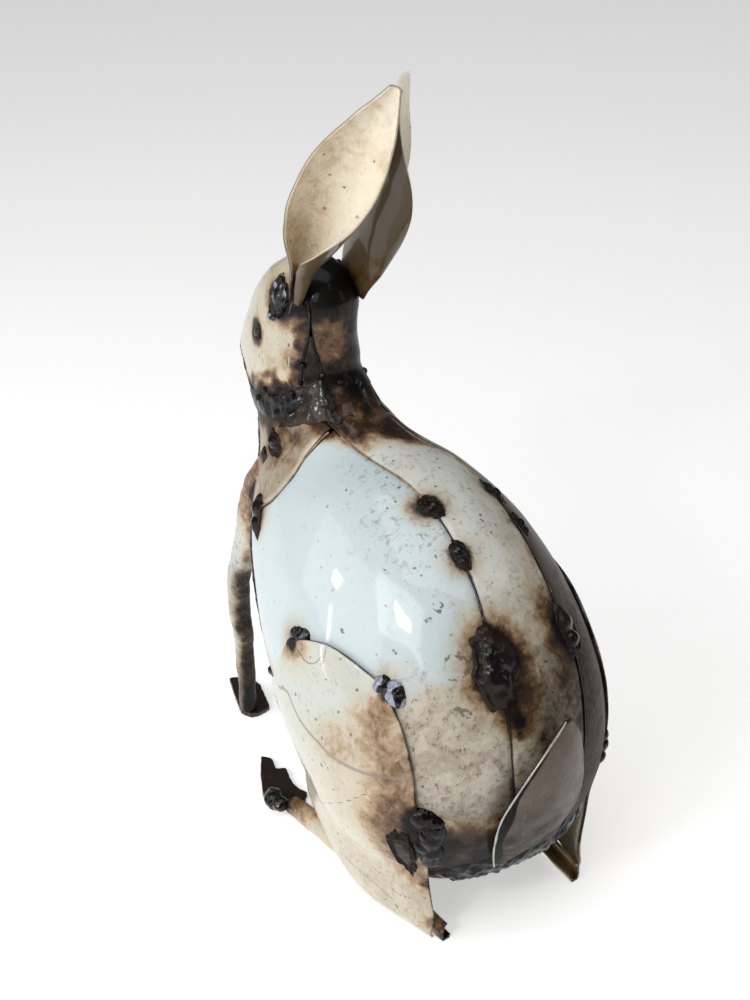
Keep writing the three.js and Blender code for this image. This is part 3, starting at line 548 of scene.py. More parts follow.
def halo_fields(points, halos):
    """Soot, scorch and a smoky brown-grey at each point: 1 minus the product over the halos of what
    each leaves clean. Soot and scorch fade between two multiples of their radius, and the brown-grey is
    a soft bell of the scorch's radius."""
    clean_soot = np.ones(points.shape[:-1])
    clean_scorch = np.ones(points.shape[:-1])
    clean = np.ones(points.shape[:-1])
    for surface, a, b, soot_radius, soot, scorch_radius, scorch in halos:
        centre = SURFACES[surface](np.array(float(a)), np.array(float(b)))
        gap = np.linalg.norm(points - centre, axis=-1)
        clean_soot = clean_soot * (1 - soot * (1 - smooth(0.45, 1.2, gap / soot_radius)))
        clean_scorch = clean_scorch * (1 - scorch * 0.7 * (1 - smooth(0.0, 1.5, gap / scorch_radius)))
        clean = clean * (1 - 0.55 * scorch * bell(gap, 0.85 * scorch_radius))
    return 1 - clean_soot, 1 - clean_scorch, 1 - clean


# ------------------------------------------------------------------ meshes
SHARP_FROM = 40  # angle between two faces from which their edge is sharp


class Part:
    """Grids gathered for one mesh: points in millimetres, faces, and a value of each field
    at each point. A field that isn't given is 0, or FAR for those that hold a distance."""

    # from 0 to 1: burnt colour, which also carries some painted shade, black, brown-grey veil of
    # smoke round the welds and of painted shade, second paint, which on welds is a silvery colour of
    # heat tint and painted highlight, grime, hollow side; distances to the nearest chip, crack and
    # drawn line
    FIELDS = ("scorch", "soot", "murk", "cream", "dirt", "chip", "crack", "line", "inside")
    FAR = {"chip": 9.0, "crack": 99.0, "line": 99.0}

    def __init__(self):
        self.points, self.faces, self.fields = [], [], {name: [] for name in self.FIELDS}
        self.count = 0

    def add(self, points, faces, fields=None):
        """Takes in a closed grid; its faces are turned round if they enclose less than
        nothing."""
        fields = fields or {}
        if enclosed(points, faces) < 0:
            faces = [face[:, ::-1] for face in faces]
        self.points.append(points)
        self.faces += [face + self.count for face in faces]
        self.count += len(points)
        for name in self.FIELDS:
            value = np.broadcast_to(fields.get(name, self.FAR.get(name, 0.0)), (len(points),))
            self.fields[name].append(value.astype(np.float32))
        return self

    def sheet(self, outer, thickness, side, fields):
        """Bent sheet: an outer grid, an inner grid a thickness below it along the normals,
        and quads along the four cut edges."""
        rows, columns = outer.shape[0], outer.shape[1]
        normals = grid_normals(outer) * side
        inner = outer - normals * thickness
        index = np.arange(rows * columns).reshape(rows, columns)
        quads = grid_quads(index)
        under = index + index.size
        faces = [quads, grid_quads(under)[:, ::-1]]
        border = np.concatenate([index[:, 0], index[-1, 1:], index[-2::-1, -1], index[0, -2:0:-1]])
        ahead = np.roll(border, -1)
        faces.append(np.stack([ahead, border, border + index.size, ahead + index.size], -1))
        flat = {key: np.broadcast_to(value, (rows, columns)).ravel() for key, value in fields.items()}
        doubled = {key: np.concatenate([value, value]) for key, value in flat.items()}
        doubled["inside"] = np.repeat([0.0, 1.0], index.size)
        points = np.concatenate([outer.reshape(-1, 3), inner.reshape(-1, 3)])
        return self.add(points, faces, doubled)

    def closed(self, rings, fields=None):
        """Closed form through rings of points, with a pole at the middle of the first and of
        the last ring."""
        count, around = rings.shape[0], rings.shape[1]
        index = np.arange(count * around).reshape(count, around)
        wrapped = np.column_stack([index, index[:, 0]])
        poles = np.stack([rings[0].mean(0), rings[-1].mean(0)])
        first, last = np.full(around, index.size), np.full(around, index.size + 1)
        faces = [
            grid_quads(wrapped),
            np.stack([first, wrapped[0, :-1], wrapped[0, 1:]], -1),
            np.stack([last, wrapped[-1, 1:], wrapped[-1, :-1]], -1),
        ]
        if fields:
            fields = {key: self._with_poles(value, count, around) for key, value in fields.items()}
        return self.add(np.concatenate([rings.reshape(-1, 3), poles]), faces, fields)

    @staticmethod
    def _with_poles(value, count, around):
        value = np.broadcast_to(value, (count, around))
        return np.concatenate([value.ravel(), [value[0].mean(), value[-1].mean()]])

    def finish(self, name, material, replaced, slot):
        """Makes the object, in metres in the frame, riding on the root body."""
        points = np.concatenate(self.points) * MM + SHIFT
        mesh = bpy.data.meshes.new(name)
        mesh.vertices.add(len(points))
        mesh.vertices.foreach_set("co", points.ravel())
        corners = np.concatenate([face.ravel() for face in self.faces])
        sizes = np.concatenate([np.full(len(face), face.shape[1]) for face in self.faces])
        mesh.loops.add(len(corners))
        mesh.loops.foreach_set("vertex_index", corners)
        mesh.polygons.add(len(sizes))
        mesh.polygons.foreach_set("loop_start", np.concatenate([[0], np.cumsum(sizes)[:-1]]))
        mesh.update(calc_edges=True)
        mesh.shade_smooth()
        mesh.set_sharp_from_angle(angle=math.radians(SHARP_FROM))
        for field, values in self.fields.items():
            layer = mesh.attributes.new(field, "FLOAT", "POINT")
            layer.data.foreach_set("value", np.concatenate(values))
        mesh.materials.append(material)
        obj = bpy.data.objects.new(name, mesh)
        bpy.context.scene.collection.objects.link(obj)
        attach(obj, "root")
        if replaced:
            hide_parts(*replaced)


def enclosed(points, faces):
    """Volume inside a mesh: a sixth of p0 . (p1 x p2), summed over its triangles."""
    total = 0.0
    for face in faces:
        corner = [points[face[:, k]] for k in range(face.shape[1])]
        for k in range(1, len(corner) - 1):
            total += (corner[0] * np.cross(corner[k], corner[k + 1])).sum()
    return total / 6


def grid_quads(index):
    """The quads between neighbours in a grid of point numbers, going round down, then across."""
    return np.stack([index[:-1, :-1], index[1:, :-1], index[1:, 1:], index[:-1, 1:]], -1).reshape(-1, 4)


def grid_normals(points):
    """Direction square to a grid, from the steps to its neighbours both ways."""
    return unit(np.cross(np.gradient(points, axis=0), np.gradient(points, axis=1)))


def grid(rows, columns):
    """Parameters u down the rows and v across the columns, both from 0 to 1."""
    return np.meshgrid(np.linspace(0, 1, rows), np.linspace(0, 1, columns), indexing="ij")


# ------------------------------------------------------------------ shader maths
class Value:
    """A number in a shader: + - * / and ** between these and plain numbers add Math nodes."""

    def __init__(self, tree, socket):
        self.tree, self.socket = tree, socket

    def _math(self, operation, *values):
        return self.tree.node("Math", {"operation": operation}, *values)[0]

    def __add__(self, other):
        return self._math("ADD", self, other)

    __radd__ = __add__

    def __sub__(self, other):
        return self._math("SUBTRACT", self, other)

    def __rsub__(self, other):
        return self._math("SUBTRACT", other, self)

    def __mul__(self, other):
        return self._math("MULTIPLY", self, other)

    __rmul__ = __mul__

    def __truediv__(self, other):
        return self._math("DIVIDE", self, other)

    def __pow__(self, other):
        return self._math("POWER", self, other)

    def clamp(self):
        return self.tree.node("Clamp", {}, self)[0]

    def most(self, other):
        return self._math("MAXIMUM", self, other)

    def rise(self, low, high):
        """0 below low, 1 above high, smooth between; it falls where low is the larger."""
        if low > high:
            return 1 - self.rise(high, low)
        settings = {"interpolation_type": "SMOOTHSTEP"}
        return self.tree.node("MapRange", settings, self, low, high, 0.0, 1.0)[0]


class Shader:
    """A material and its node tree."""

    def __init__(self, name, **constants):
        self.material = bpy.data.materials.new(name)
        self.material.use_nodes = True
        self.tree = self.material.node_tree
        self.principled = self.tree.nodes["Principled BSDF"]
        for socket, value in constants.items():
            self.principled.inputs[socket.replace("_", " ")].default_value = value
        self.place = self.node("TexCoord", {})[3]

    def node(self, kind, settings, *values, **named):
        """Adds a node: its settings first, then its sockets in order or by name."""
        made = self.tree.nodes.new("ShaderNode" + kind)
        for key, value in settings.items():
            if key == "stops":
                self._stops(made.color_ramp, value)
            else:
                setattr(made, key, value)
        for key, value in [*enumerate(values), *named.items()]:
            socket = made.inputs[key.replace("_", " ") if isinstance(key, str) else key]
            if isinstance(value, Value):
                self.tree.links.new(value.socket, socket)
            else:
                socket.default_value = value
        return [Value(self, out) for out in made.outputs]

    @staticmethod
    def _stops(ramp, stops):
        """Sets a ramp's stops, of which the first lies at 0 and the last at 1."""
        for position, _, _ in stops[1:-1]:
            ramp.elements.new(position)
        for element, (_, colour, alpha) in zip(ramp.elements, stops):
            element.color = (*colour[:3], alpha)

    def field(self, name):
        return self.node("Attribute", {"attribute_name": name})[2]

    def stretched(self, scale, turn):
        """The place on the object, turned and then stretched a way at a time."""
        return self.node("Mapping", {}, self.place, (0, 0, 0), turn, scale)[0]

    def noise(self, scale, detail, roughness, place=None, warp=0.0):
        """Noise between about 0 and 1; scale is in waves to the metre."""
        return self.node(
            "TexNoise", {}, Vector=place or self.place, Scale=scale, Detail=detail,
            Roughness=roughness, Distortion=warp,
        )[0]

    def cells(self, scale):
        """Distance to the middle of the nearest of scattered cells, and that cell's colour."""
        made = self.node("TexVoronoi", {"feature": "F1"}, Vector=self.place, Scale=scale)
        return made[0], made[1]

    def blend(self, below, above, share, kind="MIX"):
        """Colour below with the colour above over it, by a share from 0 to 1; DARKEN keeps
        what is darker already."""
        made = self.node("Mix", {"data_type": "RGBA", "blend_type": kind}, Factor=share)
        mixer = made[0].socket.node
        for number, colour in ((6, below), (7, above)):
            if isinstance(colour, Value):
                self.tree.links.new(colour.socket, mixer.inputs[number])
            else:
                mixer.inputs[number].default_value = colour
        return Value(self, mixer.outputs[2])

    def bump(self, height, millimetres, strength):
        return self.node("Bump", {}, Strength=strength, Distance=millimetres * MM, Height=height)[0]

    def connect(self, **sockets):
        for name, value in sockets.items():
            self.tree.links.new(value.socket, self.principled.inputs[name.replace("_", " ")])


def rgb(red, green, blue):
    """A paint colour from 0 to 255 a channel, as linear light."""
    return tuple((channel / 255) ** 2.2 for channel in (red, green, blue)) + (1.0,)


# ------------------------------------------------------------------ finishes
SOOT = rgb(15, 12, 11)
# scorch, from none to most: its place, colour and cover
CHAR = [
    (0.0, rgb(214, 192, 160), 0.0),
    (0.18, rgb(204, 182, 152), 0.45),
    (0.36, rgb(168, 136, 98), 0.78),
    (0.56, rgb(106, 72, 40), 0.95),
    (0.76, rgb(58, 43, 32), 1.0),
    (1.0, rgb(24, 19, 17), 1.0),
]


def enamel(name, light, shade, dust, hollow, shine=0.75):
    """Enamel on steel under clear lacquer. The two paints change over by the cream field, with
    the hollow side's own colour inside. Grime, specks, scratches, dashes and nicks follow the
    dirt field. The scorch goes by tan and brown to black, and also carries some painted shade.
    A brown-grey veil darkens it, as smoke round the welds and as painted shade, and the soot
    covers all in black. Chips, cracks and a drawn line follow distances to them."""
    light, shade, dust, hollow = (rgb(*paint) for paint in (light, shade, dust, hollow))
    s = Shader(name, Coat_Roughness=0.06, Specular_IOR_Level=0.12)
    cloud = s.noise(30, 4, 0.6)
    blot = s.noise(80, 6, 0.7, warp=0.8)
    fine = s.noise(230, 5, 0.68)
    grit = s.noise(820, 4, 0.65)
    scorch, soot, murk, cream = s.field("scorch"), s.field("soot"), s.field("murk"), s.field("cream")
    dirt, chip, crack = s.field("dirt"), s.field("chip"), s.field("crack")
    line, inside = s.field("line"), s.field("inside")

    # paint and grime
    colour = s.blend(light, shade, (cream * 2.2 - 0.6 + (cloud - 0.5) * 1.6).clamp())
    colour = s.blend(colour, hollow, inside)
    smudge = (blot * 0.55 + cloud * 0.45 + dirt * 0.10).rise(0.46, 0.68)
    grime = smudge * dirt.rise(0.2, 0.95) * cream.rise(0.05, 0.7) * 0.7
    colour = s.blend(colour, dust, grime, "DARKEN")
    speck = (fine * 0.6 + blot * 0.25 + grit * 0.15 + dirt * 0.05).rise(0.56, 0.65)
    colour = s.blend(colour, rgb(96, 82, 64), speck * dirt * 0.7)

    # scratches in two ways, dashes and nicks
    long = s.noise(1.0, 2, 0.5, s.stretched((1300, 120, 150), (0.5, 0.3, 0.9))).rise(0.665, 0.72)
    cross = s.noise(1.0, 2, 0.5, s.stretched((110, 1200, 130), (0.2, 0.9, 0.4))).rise(0.675, 0.73)
    colour = s.blend(colour, rgb(84, 72, 60), long.most(cross) * dirt * 0.6)
    dash = s.noise(1.0, 4, 0.65, s.stretched((110, 380, 160), (0.3, 0.6, 1.1)), 0.5).rise(0.63, 0.70)
    colour = s.blend(colour, rgb(66, 56, 46), dash * dirt.rise(0.3, 0.8) * 0.7)
    nick_gap, nick_pick = s.cells(150)
    picked = s.node("SeparateColor", {}, nick_pick)[0].rise(0.6, 0.64)
    nick = (nick_gap + (grit - 0.5) * 0.5 + (fine - 0.5) * 0.4).rise(0.15, 0.09) * picked
    nick = nick * dirt.rise(0.05, 0.3)
    colour = s.blend(colour, rgb(80, 74, 68), nick * 0.8)

    # burns, and the painted shade that the scorch and the brown-grey veil also carry
    mottle = (cloud - 0.5) * 0.5 + (blot - 0.5) * 0.7 + (fine - 0.5) * 0.4
    burnt = scorch + mottle * scorch.rise(0.02, 0.35)
    char = s.node("ValToRGB", {"stops": CHAR}, burnt.clamp())
    colour = s.blend(colour, char[0], char[1], "DARKEN")
    # brown-grey veil: smoky darkening round the welds, and painted shade where parts lie away from the
    # light
    veil = (murk * (1.0 + (blot - 0.5) * 0.9 + (fine - 0.5) * 0.8)).clamp()
    colour = s.blend(colour, rgb(50, 40, 30), veil, "DARKEN")

    # chips, soot, cracks and the drawn line
    flaw = chip + (fine - 0.5) * 1.5 + (grit - 0.5) * 1.2 + (blot - 0.5) * 0.8
    flaked = flaw.rise(0.95, 0.6)
    colour = s.blend(colour, rgb(84, 78, 70), flaked * 0.75)
    ragged = (cloud - 0.5) * 0.4 + (blot - 0.5) * 0.6 + (fine - 0.5) * 0.5
    sooty = (soot + ragged * soot.rise(0.03, 0.35)).rise(0.22, 0.9)
    colour = s.blend(colour, SOOT, sooty * 0.97)
    split = (crack + (fine - 0.5) * 0.9).rise(0.62, 0.3)
    colour = s.blend(colour, rgb(62, 50, 42), split * 0.55)
    drawn = (line + (fine - 0.5) * 0.6).rise(1.5, 0.9)
    colour = s.blend(colour, rgb(134, 124, 112), drawn * 0.7)

    # gloss and relief
    charred = burnt.rise(0.4, 0.95).most(sooty).most(veil)
    coat = shine - charred * shine * 0.78
    rough = 0.36 + fine * 0.12 + nick * 0.2 + flaked * 0.25
    rough = rough + (grit - 0.5) * dirt * 0.3 + charred * 0.14
    blister = s.noise(150, 4, 0.6) * 1.4 + s.noise(460, 3, 0.6) * 0.6
    height = cloud * 0.8 + blot * 0.5 + fine * 0.3 + grit * 0.08 + blister * charred * 1.1
    height = height - nick * 0.5 - flaked * 0.45 - split * 0.8
    s.connect(Base_Color=colour, Roughness=rough, Coat_Weight=coat, Normal=s.bump(height, 0.4, 0.8))
    return s.material


def weld_steel(name, base, brown, tint_and_highlight_colour, gloss=1.0):
    """Melted steel: near black, smooth and very glossy. The cream field brings up a silvery
    colour, part heat tint and part painted highlight, and the scorch field a dull brown crust."""
    base, brown, tint_and_highlight_colour = (rgb(*steel) for steel in (base, brown, tint_and_highlight_colour))
    s = Shader(name, Metallic=0.35 * gloss, Coat_Roughness=0.04, Specular_IOR_Level=0.18 * gloss)
    cloud, fine, grit = s.noise(120, 3, 0.6), s.noise(420, 4, 0.6), s.noise(1500, 3, 0.6)
    crust = s.field("scorch").clamp()
    colour = s.blend(base, rgb(60, 55, 55), fine.rise(0.52, 0.72) * 0.5)
    colour = s.blend(colour, brown, (cloud + crust * 0.4).rise(0.55, 0.75) * 0.75)
    # silvery where the cream field is high: part heat tint, part painted highlight
    colour = s.blend(colour, tint_and_highlight_colour, (s.field("cream") + (fine - 0.5) * 0.5).rise(0.35, 0.9) * 0.7)
    rough = 0.16 + fine * 0.16 + cloud * 0.1 + crust * 0.3
    height = fine * 0.3 + grit * 0.06 + cloud * 0.5 + (s.noise(260, 4, 0.65) * 1.4 + fine) * crust
    coat = (0.5 - crust * 0.32) * gloss
    s.connect(Base_Color=colour, Roughness=rough, Coat_Weight=coat, Normal=s.bump(height, 0.45, 0.9))
    return s.material


# light paint, second paint, dust and hollow side, from 0 to 255 a channel, and shine
BARE_INSIDE = (70, 60, 52)
BLUE_ENAMEL = enamel("blue_grey_enamel", (194, 206, 209), (200, 192, 175), (136, 122, 102), BARE_INSIDE)
CREAM_ENAMEL = enamel("cream_enamel", (193, 197, 191), (200, 192, 172), (152, 133, 104), (146, 124, 86))
BACK_ENAMEL = enamel("back_enamel", (222, 224, 216), (208, 200, 182), (140, 124, 100), BARE_INSIDE)
# painted shade: brown-grey that stands for the right flank's blue-grey paint as it looks away from the
# light
SHADED_ENAMEL = enamel("painted_shade_enamel", (98, 88, 72), (78, 66, 50), (56, 45, 34), BARE_INSIDE, 0.2)
PINK_ENAMEL = enamel(
    "pink_grey_enamel", (138, 126, 118), (106, 94, 85), (78, 66, 56), (60, 50, 44), 0.4
)
# on the ears the dark brown second paint is painted shade on their outer sides; the light paint is a
# painted lit strip, and also the pale tips
EAR_PAINT_AND_SHADE = enamel("ear_paint_and_shade", (214, 204, 184), (92, 79, 60), (74, 60, 42), (232, 225, 206), 0.6)
# steel, brown, a silvery colour that is part heat tint and part painted highlight, and gloss
WELD = weld_steel("melted_weld", (24, 21, 22), (40, 30, 25), (168, 172, 190))
SOOTY_WELD = weld_steel("sooty_weld", (14, 12, 12), (40, 29, 22), (120, 122, 132), 0.6)
PLATE_STEEL = weld_steel("burnt_plate", (56, 47, 41), (100, 68, 46), (150, 142, 134))
EDGE_STEEL = weld_steel("bare_edge", (176, 170, 160), (120, 96, 72), (200, 198, 192))


# ------------------------------------------------------------------ body panels
def border_distance(points):
    """Distance from each grid point, along the grid, to the nearest of the two side edges and
    to the nearest of the two end edges."""

    def nearest(grid_points):
        steps = np.linalg.norm(np.diff(grid_points, axis=1), axis=-1)
        run = np.column_stack([np.zeros(len(steps)), np.cumsum(steps, axis=1)])
        return np.minimum(run, run[:, -1:] - run)

    return nearest(points), nearest(points.transpose(1, 0, 2)).T


def hammered(points, normals, depth=0.45):
    """Shallow dents: long and short unevenness along the normal, which never goes far out."""
    dents = depth * (ripples(points, 66, 3) + 0.3 * ripples(points, 23, 4) - 0.8)
    return points + normals * dents[..., None]


def spaced(count, squeeze=0.6):
    """Steps from 0 to 1 that are closer together at both ends."""
    t = np.linspace(0, 1, count)
    return t - squeeze * np.sin(2 * np.pi * t) / (2 * np.pi)


def pair(share, angle):
    """A share and an angle side by side, so that a part of a shell gives its own places."""
    return np.stack(np.broadcast_arrays(share, angle), -1)


def body_fields(points, share, angle, edges, cream, dirt):
    """Values over the body. Soot: halos, the neck's, the rump's and the seams'. Scorch: halos, a
    rim of brown round each soot, painted shade with some grime on the right side, the lower
    back's and the shoulder patches'. Brown-grey veil: halos, the lower back, part grime and part
    painted shade, the shoulder patches, and painted shade low on the rump, on the rear right, in
    the corner by the tail, and over all, thickening downwards and to the right."""
    soot, scorch, murk = halo_fields(points, BODY_HALOS)
    uneven = ripples(points, 15, 8)
    blots = 1 + 0.2 * ripples(points, 22, 15)
    over_neck = share - neck_soot(angle)[..., 0]
    top = smooth(-0.002, 0.02, over_neck + 0.007 * uneven)
    top_scorch = smooth(-0.022, 0.012, over_neck + 0.008 * uneven)
    low = smooth(0.265, 0.14, share + 0.032 * uneven)
    low_scorch = smooth(0.34, 0.17, share + 0.035 * uneven)
    # painted shade with some grime on the right side, away from the light, laid on as brown scorch
    right_shade_and_grime = smooth(0, -34, angle + 5 * uneven) * smooth(-150, -60, angle) * smooth(0.84, 0.55, share)
    # darker over the lower back, by the brown-grey veil and a little scorch: part grime, part painted
    # shade
    back = smooth(0.64, 0.5, share) * smooth(13, 3, angle + 3 * uneven) * smooth(-60, -20, angle)
    patch = smooth(0, 0.014, share - shoulder_line(np.abs(angle))[..., 0])
    seam = 0.36 * bell(edges, 0.8) + 0.2 * np.exp(-edges / 3.5) * (1 + uneven)
    seam = np.clip(seam, 0, 1) * (0.35 + 0.65 * smooth(100, 84, np.abs(angle)))
    seam = seam * (0.4 + 0.6 * smooth(0.9, 0.82, share))

    # painted shade through the brown-grey veil: a shadow low on the rump, the lower rear of the right
    # side and the corner by the tail
    shadow = smooth(0.4, 0.18, share + 0.03 * uneven)
    behind = smooth(0, -14, angle) * smooth(0.62, 0.44, share)
    nook_shade = smooth(0.46, 0.34, share) * smooth(34, 20, angle) * smooth(10, 20, angle)
    murk = joined(murk, 0.68 * back * blots, 0.42 * patch, 0.6 * shadow, 0.5 * behind, 0.32 * nook_shade)
    # painted shade over the whole body, thickening downwards and to the right
    lower_right_shade = 0.16 * smooth(14, -22, angle) * smooth(-60, -40, angle) * smooth(0.9, 0.75, share)
    lower_right_shade = 0.1 * smooth(0.64, 0.5, share) + lower_right_shade
    murk = joined(murk, lower_right_shade * blots)
    soot = joined(soot, 0.3 * top, 0.95 * low, seam)
    scorch = joined(
        scorch, 0.78 * top_scorch, 0.8 * low_scorch, 0.75 * right_shade_and_grime, 0.2 * back, 0.22 * patch
    )
    chip = chip_gaps(points)
    return {"soot": soot, "scorch": scorch, "murk": murk, "cream": cream, "dirt": dirt, "chip": chip}


def chip_gaps(points):
    """How far each point is from the nearest chip: in radii from the middle of a bare one, and
    in widths from the rim of one that left only its ring, with both made uneven."""
    gaps = np.full(points.shape[:-1], Part.FAR["chip"])
    waver = 0.9 * ripples(points, 6, 13)
    width = np.clip(0.9 + 0.7 * ripples(points, 7, 14), 0.15, 2)
    for share, angle, radius, ring in CHIPS:
        gap = np.linalg.norm(points - body_point(share, angle), axis=-1) + waver
        gaps = np.minimum(gaps, np.abs(gap - radius * 0.8) / width + 0.2 if ring else gap / radius)
    return gaps


def body_panel(name, lines, rows, columns, material, slot, colours, turn):
    """A panel of the body: the shell between four lines, dented, its edges rolled in."""
    u, v = np.meshgrid(spaced(rows, 0.2), spaced(columns), indexing="ij")
    places = shell_part(pair, *lines, SHOULDER_SHARE)(u, v)
    share, angle = places[..., 0], places[..., 1] + turn
    flat = body_point(share, angle)
    normals = grid_normals(flat)
    edges = np.minimum(*border_distance(flat))
    points = hammered(flat, normals) - normals * (0.5 * bell(edges, 1.5))[..., None]
    cream, dirt = colours(share, angle, flat)
    fields = body_fields(flat, share, within_half_turn(angle), edges, cream, dirt)
    Part().sheet(points, SHEET, 1, fields).finish(name + "_skin", material, (name,), slot)


def always(value):
    """A line that stays at one share or angle."""
    return lambda _: value


def flank_colours(share, angle, points):
    """Blue-grey above, dirty cream below, where the flank nears the big welds."""
    uneven = ripples(points, 30, 12)
    low = smooth(0.63, 0.52, share + 0.03 * uneven)
    near_back = smooth(30, 18, np.abs(angle)) * smooth(0.74, 0.62, share)
    cream = np.clip(low + 0.8 * near_back, 0, 1)
    specks = smooth(0.66, 0.8, share) * smooth(0.96, 0.9, share) * smooth(62, 25, np.abs(angle))
    return cream, np.clip(0.16 + 0.66 * cream + 0.6 * specks, 0, 1)


def plain_colours(cream, dirt):
    """The same paint and dirt all over."""
    return lambda share, angle, points: (np.full(share.shape, cream), np.full(share.shape, dirt))


def back_colours(share, angle, points):
    """White above, dirty cream below."""
    low = smooth(0.74, 0.5, share)
    return 0.25 + 0.75 * low, 0.62 + 0.35 * low


def make_body():
    """The panels of the body. The belly's angles are counted from its middle."""
    left = lambda s: back_seams(s)[..., 0] + body_gap(s)
    right = lambda s: back_seams(s)[..., 1] - body_gap(s)
    back_left = lambda s: back_seams(s)[..., 0] - body_gap(s)
    back_right = lambda s: back_seams(s)[..., 1] + body_gap(s)
    left_belly = lambda s: BELLY_SEAM - body_gap(s)
    right_belly = lambda s: body_gap(s) - BELLY_SEAM
    flank_end = lambda a: shoulder_line(np.abs(a))[..., 0] - SHARE_GAP
    patch_start = lambda a: shoulder_line(np.abs(a))[..., 0] + SHARE_GAP
    belly_edge = lambda s: 180 - BELLY_SEAM - body_gap(s)
    start, end = always(0.0), always(1.0)
    belly = (lambda s: -belly_edge(s), belly_edge, start, end)
    panels = {
        "back_panel": ((back_right, back_left, start, end), 230, 52, BACK_ENAMEL, back_colours),
        "left_flank": ((left, left_belly, start, flank_end), 224, 120, BLUE_ENAMEL, flank_colours),
        # the right flank takes the painted shade enamel
        "right_flank": (
            (right_belly, right, start, flank_end), 160, 90, SHADED_ENAMEL, plain_colours(1, 0.8)
        ),
        "left_shoulder": (
            (left, left_belly, patch_start, end), 50, 90, CREAM_ENAMEL, plain_colours(1, 0.4)
        ),
        "right_shoulder": (
            (right_belly, right, patch_start, end), 50, 90, CREAM_ENAMEL, plain_colours(1, 0.5)
        ),
        "belly_panel": (belly, 110, 60, BLUE_ENAMEL, plain_colours(0.3, 0.4)),
    }
    blue = ("left_flank", "right_flank", "belly_panel")
    for name, (lines, rows, columns, material, colours) in panels.items():
        slot = "blue_grey_paint" if name in blue else "cream_paint"
        turn = 180 if name == "belly_panel" else 0
        body_panel(name, lines, rows, columns, material, slot, colours, turn)


# ------------------------------------------------------------------ head panels
def head_fields(points, share, angle, edges):
    """Values over the head: halos, the soot of the neck, of the seams, of the nape and of the
    crown."""
    soot, scorch, murk = halo_fields(points, HEAD_HALOS)
    uneven = ripples(points, 11, 9)
    neck = smooth(0.15, 0.06, share + 0.03 * uneven)
    neck_scorch = smooth(0.26, 0.1, share + 0.04 * uneven)
    seam = 0.6 * bell(edges, 0.9) + 0.15 * np.exp(-edges / 3) * (1 + uneven)
    nape_soot, nape_scorch = nape_marks(points, share, angle)
    soot = joined(soot, 0.9 * neck, np.clip(seam, 0, 1), nape_soot)
    scorch = joined(scorch, 0.8 * neck_scorch, nape_scorch)
    return {"soot": soot, "scorch": scorch, "murk": 0.7 * murk, "cream": 1.0, "dirt": 0.5}


def nape_marks(points, share, angle):
    """Brown and black from the nape seam to the ears, with an orange-brown patch in it, and
    quite black round the crown."""
    uneven = ripples(points, 12, 10)
    nape = smooth(54, 36, np.abs(angle) + 6 * uneven)
    crown = smooth(0.5, 0.66, share + 0.03 * uneven) * smooth(64, 44, np.abs(angle) + 6 * uneven)
    middle = head_point(np.array(0.4), np.array(20.0))
    gap = np.linalg.norm((points - middle) * (0.8, 1, 0.9), axis=-1)
    patch = smooth(17, 8, gap + 3 * uneven)
    soot = np.maximum(nape * (0.58 - 0.24 * uneven), crown) * (1 - 0.92 * patch)
    scorch = np.maximum(nape * (0.82 - 0.2 * patch), crown)
    return np.clip(soot, 0, 0.97), np.clip(scorch, 0, 0.95)


def head_panel(name, lines, rows, columns, slot, turn=0):
    """A panel of the head, made as those of the body are."""
    u, v = np.meshgrid(spaced(rows, 0.2), spaced(columns, 0.4), indexing="ij")
    places = shell_part(pair, *lines, 0.4)(u, v)
    share, angle = places[..., 0], places[..., 1] + turn
    flat = head_point(share, angle)
    normals = grid_normals(flat)
    sides, ends = border_distance(flat)
    edges = np.minimum(sides, ends) if name == "nape_strip" else sides
    points = hammered(flat, normals, 0.3) - normals * (0.4 * bell(edges, 1.2))[..., None]
    fields = head_fields(flat, share, within_half_turn(angle), edges)
    Part().sheet(points, SHEET, 1, fields).finish(name + "_skin", CREAM_ENAMEL, (name,), slot)


def make_head():
    """The panels of the head. The jaw's angles are counted from its middle."""
    seams = lambda t: nape_seams(t * HEAD_HEIGHT)
    left = lambda t: seams(t)[..., 0] + head_gap(t)
    right = lambda t: seams(t)[..., 1] - head_gap(t)
    brow = lambda t: 180 - head_gap(t)
    brow_right = lambda t: head_gap(t) - 180
    first = MOUTH_LINE[0][0]
    jaw_line = lambda a: np.maximum(mouth_line(np.maximum(np.abs(a), first))[..., 0], 0)
    cheek_start = lambda a: np.where(np.abs(a) > first, jaw_line(a) + SHARE_GAP, 0)
    nape_left = lambda t: np.maximum(seams(t)[..., 0] - head_gap(t), nape_right(t) + 1)
    nape_right = lambda t: seams(t)[..., 1] + head_gap(t)
    nape_end = always(NAPE_TOP / HEAD_HEIGHT)
    jaw_edge = 180 - JAW_EDGE
    jaw_end = lambda a: jaw_line(180 - np.abs(a)) - SHARE_GAP * 5
    start, end = always(0.0), always(1.0)
    head_panel("left_cheek", (left, brow, cheek_start, end), 96, 96, "cream_paint")
    head_panel("right_cheek", (brow_right, right, cheek_start, end), 96, 96, "cream_paint")
    head_panel("nape_strip", (nape_right, nape_left, start, nape_end), 50, 28, "scorched_paint")
    jaw = (always(-jaw_edge), always(jaw_edge), start, jaw_end)
    head_panel("jaw", jaw, 44, 70, "cream_paint", turn=180)


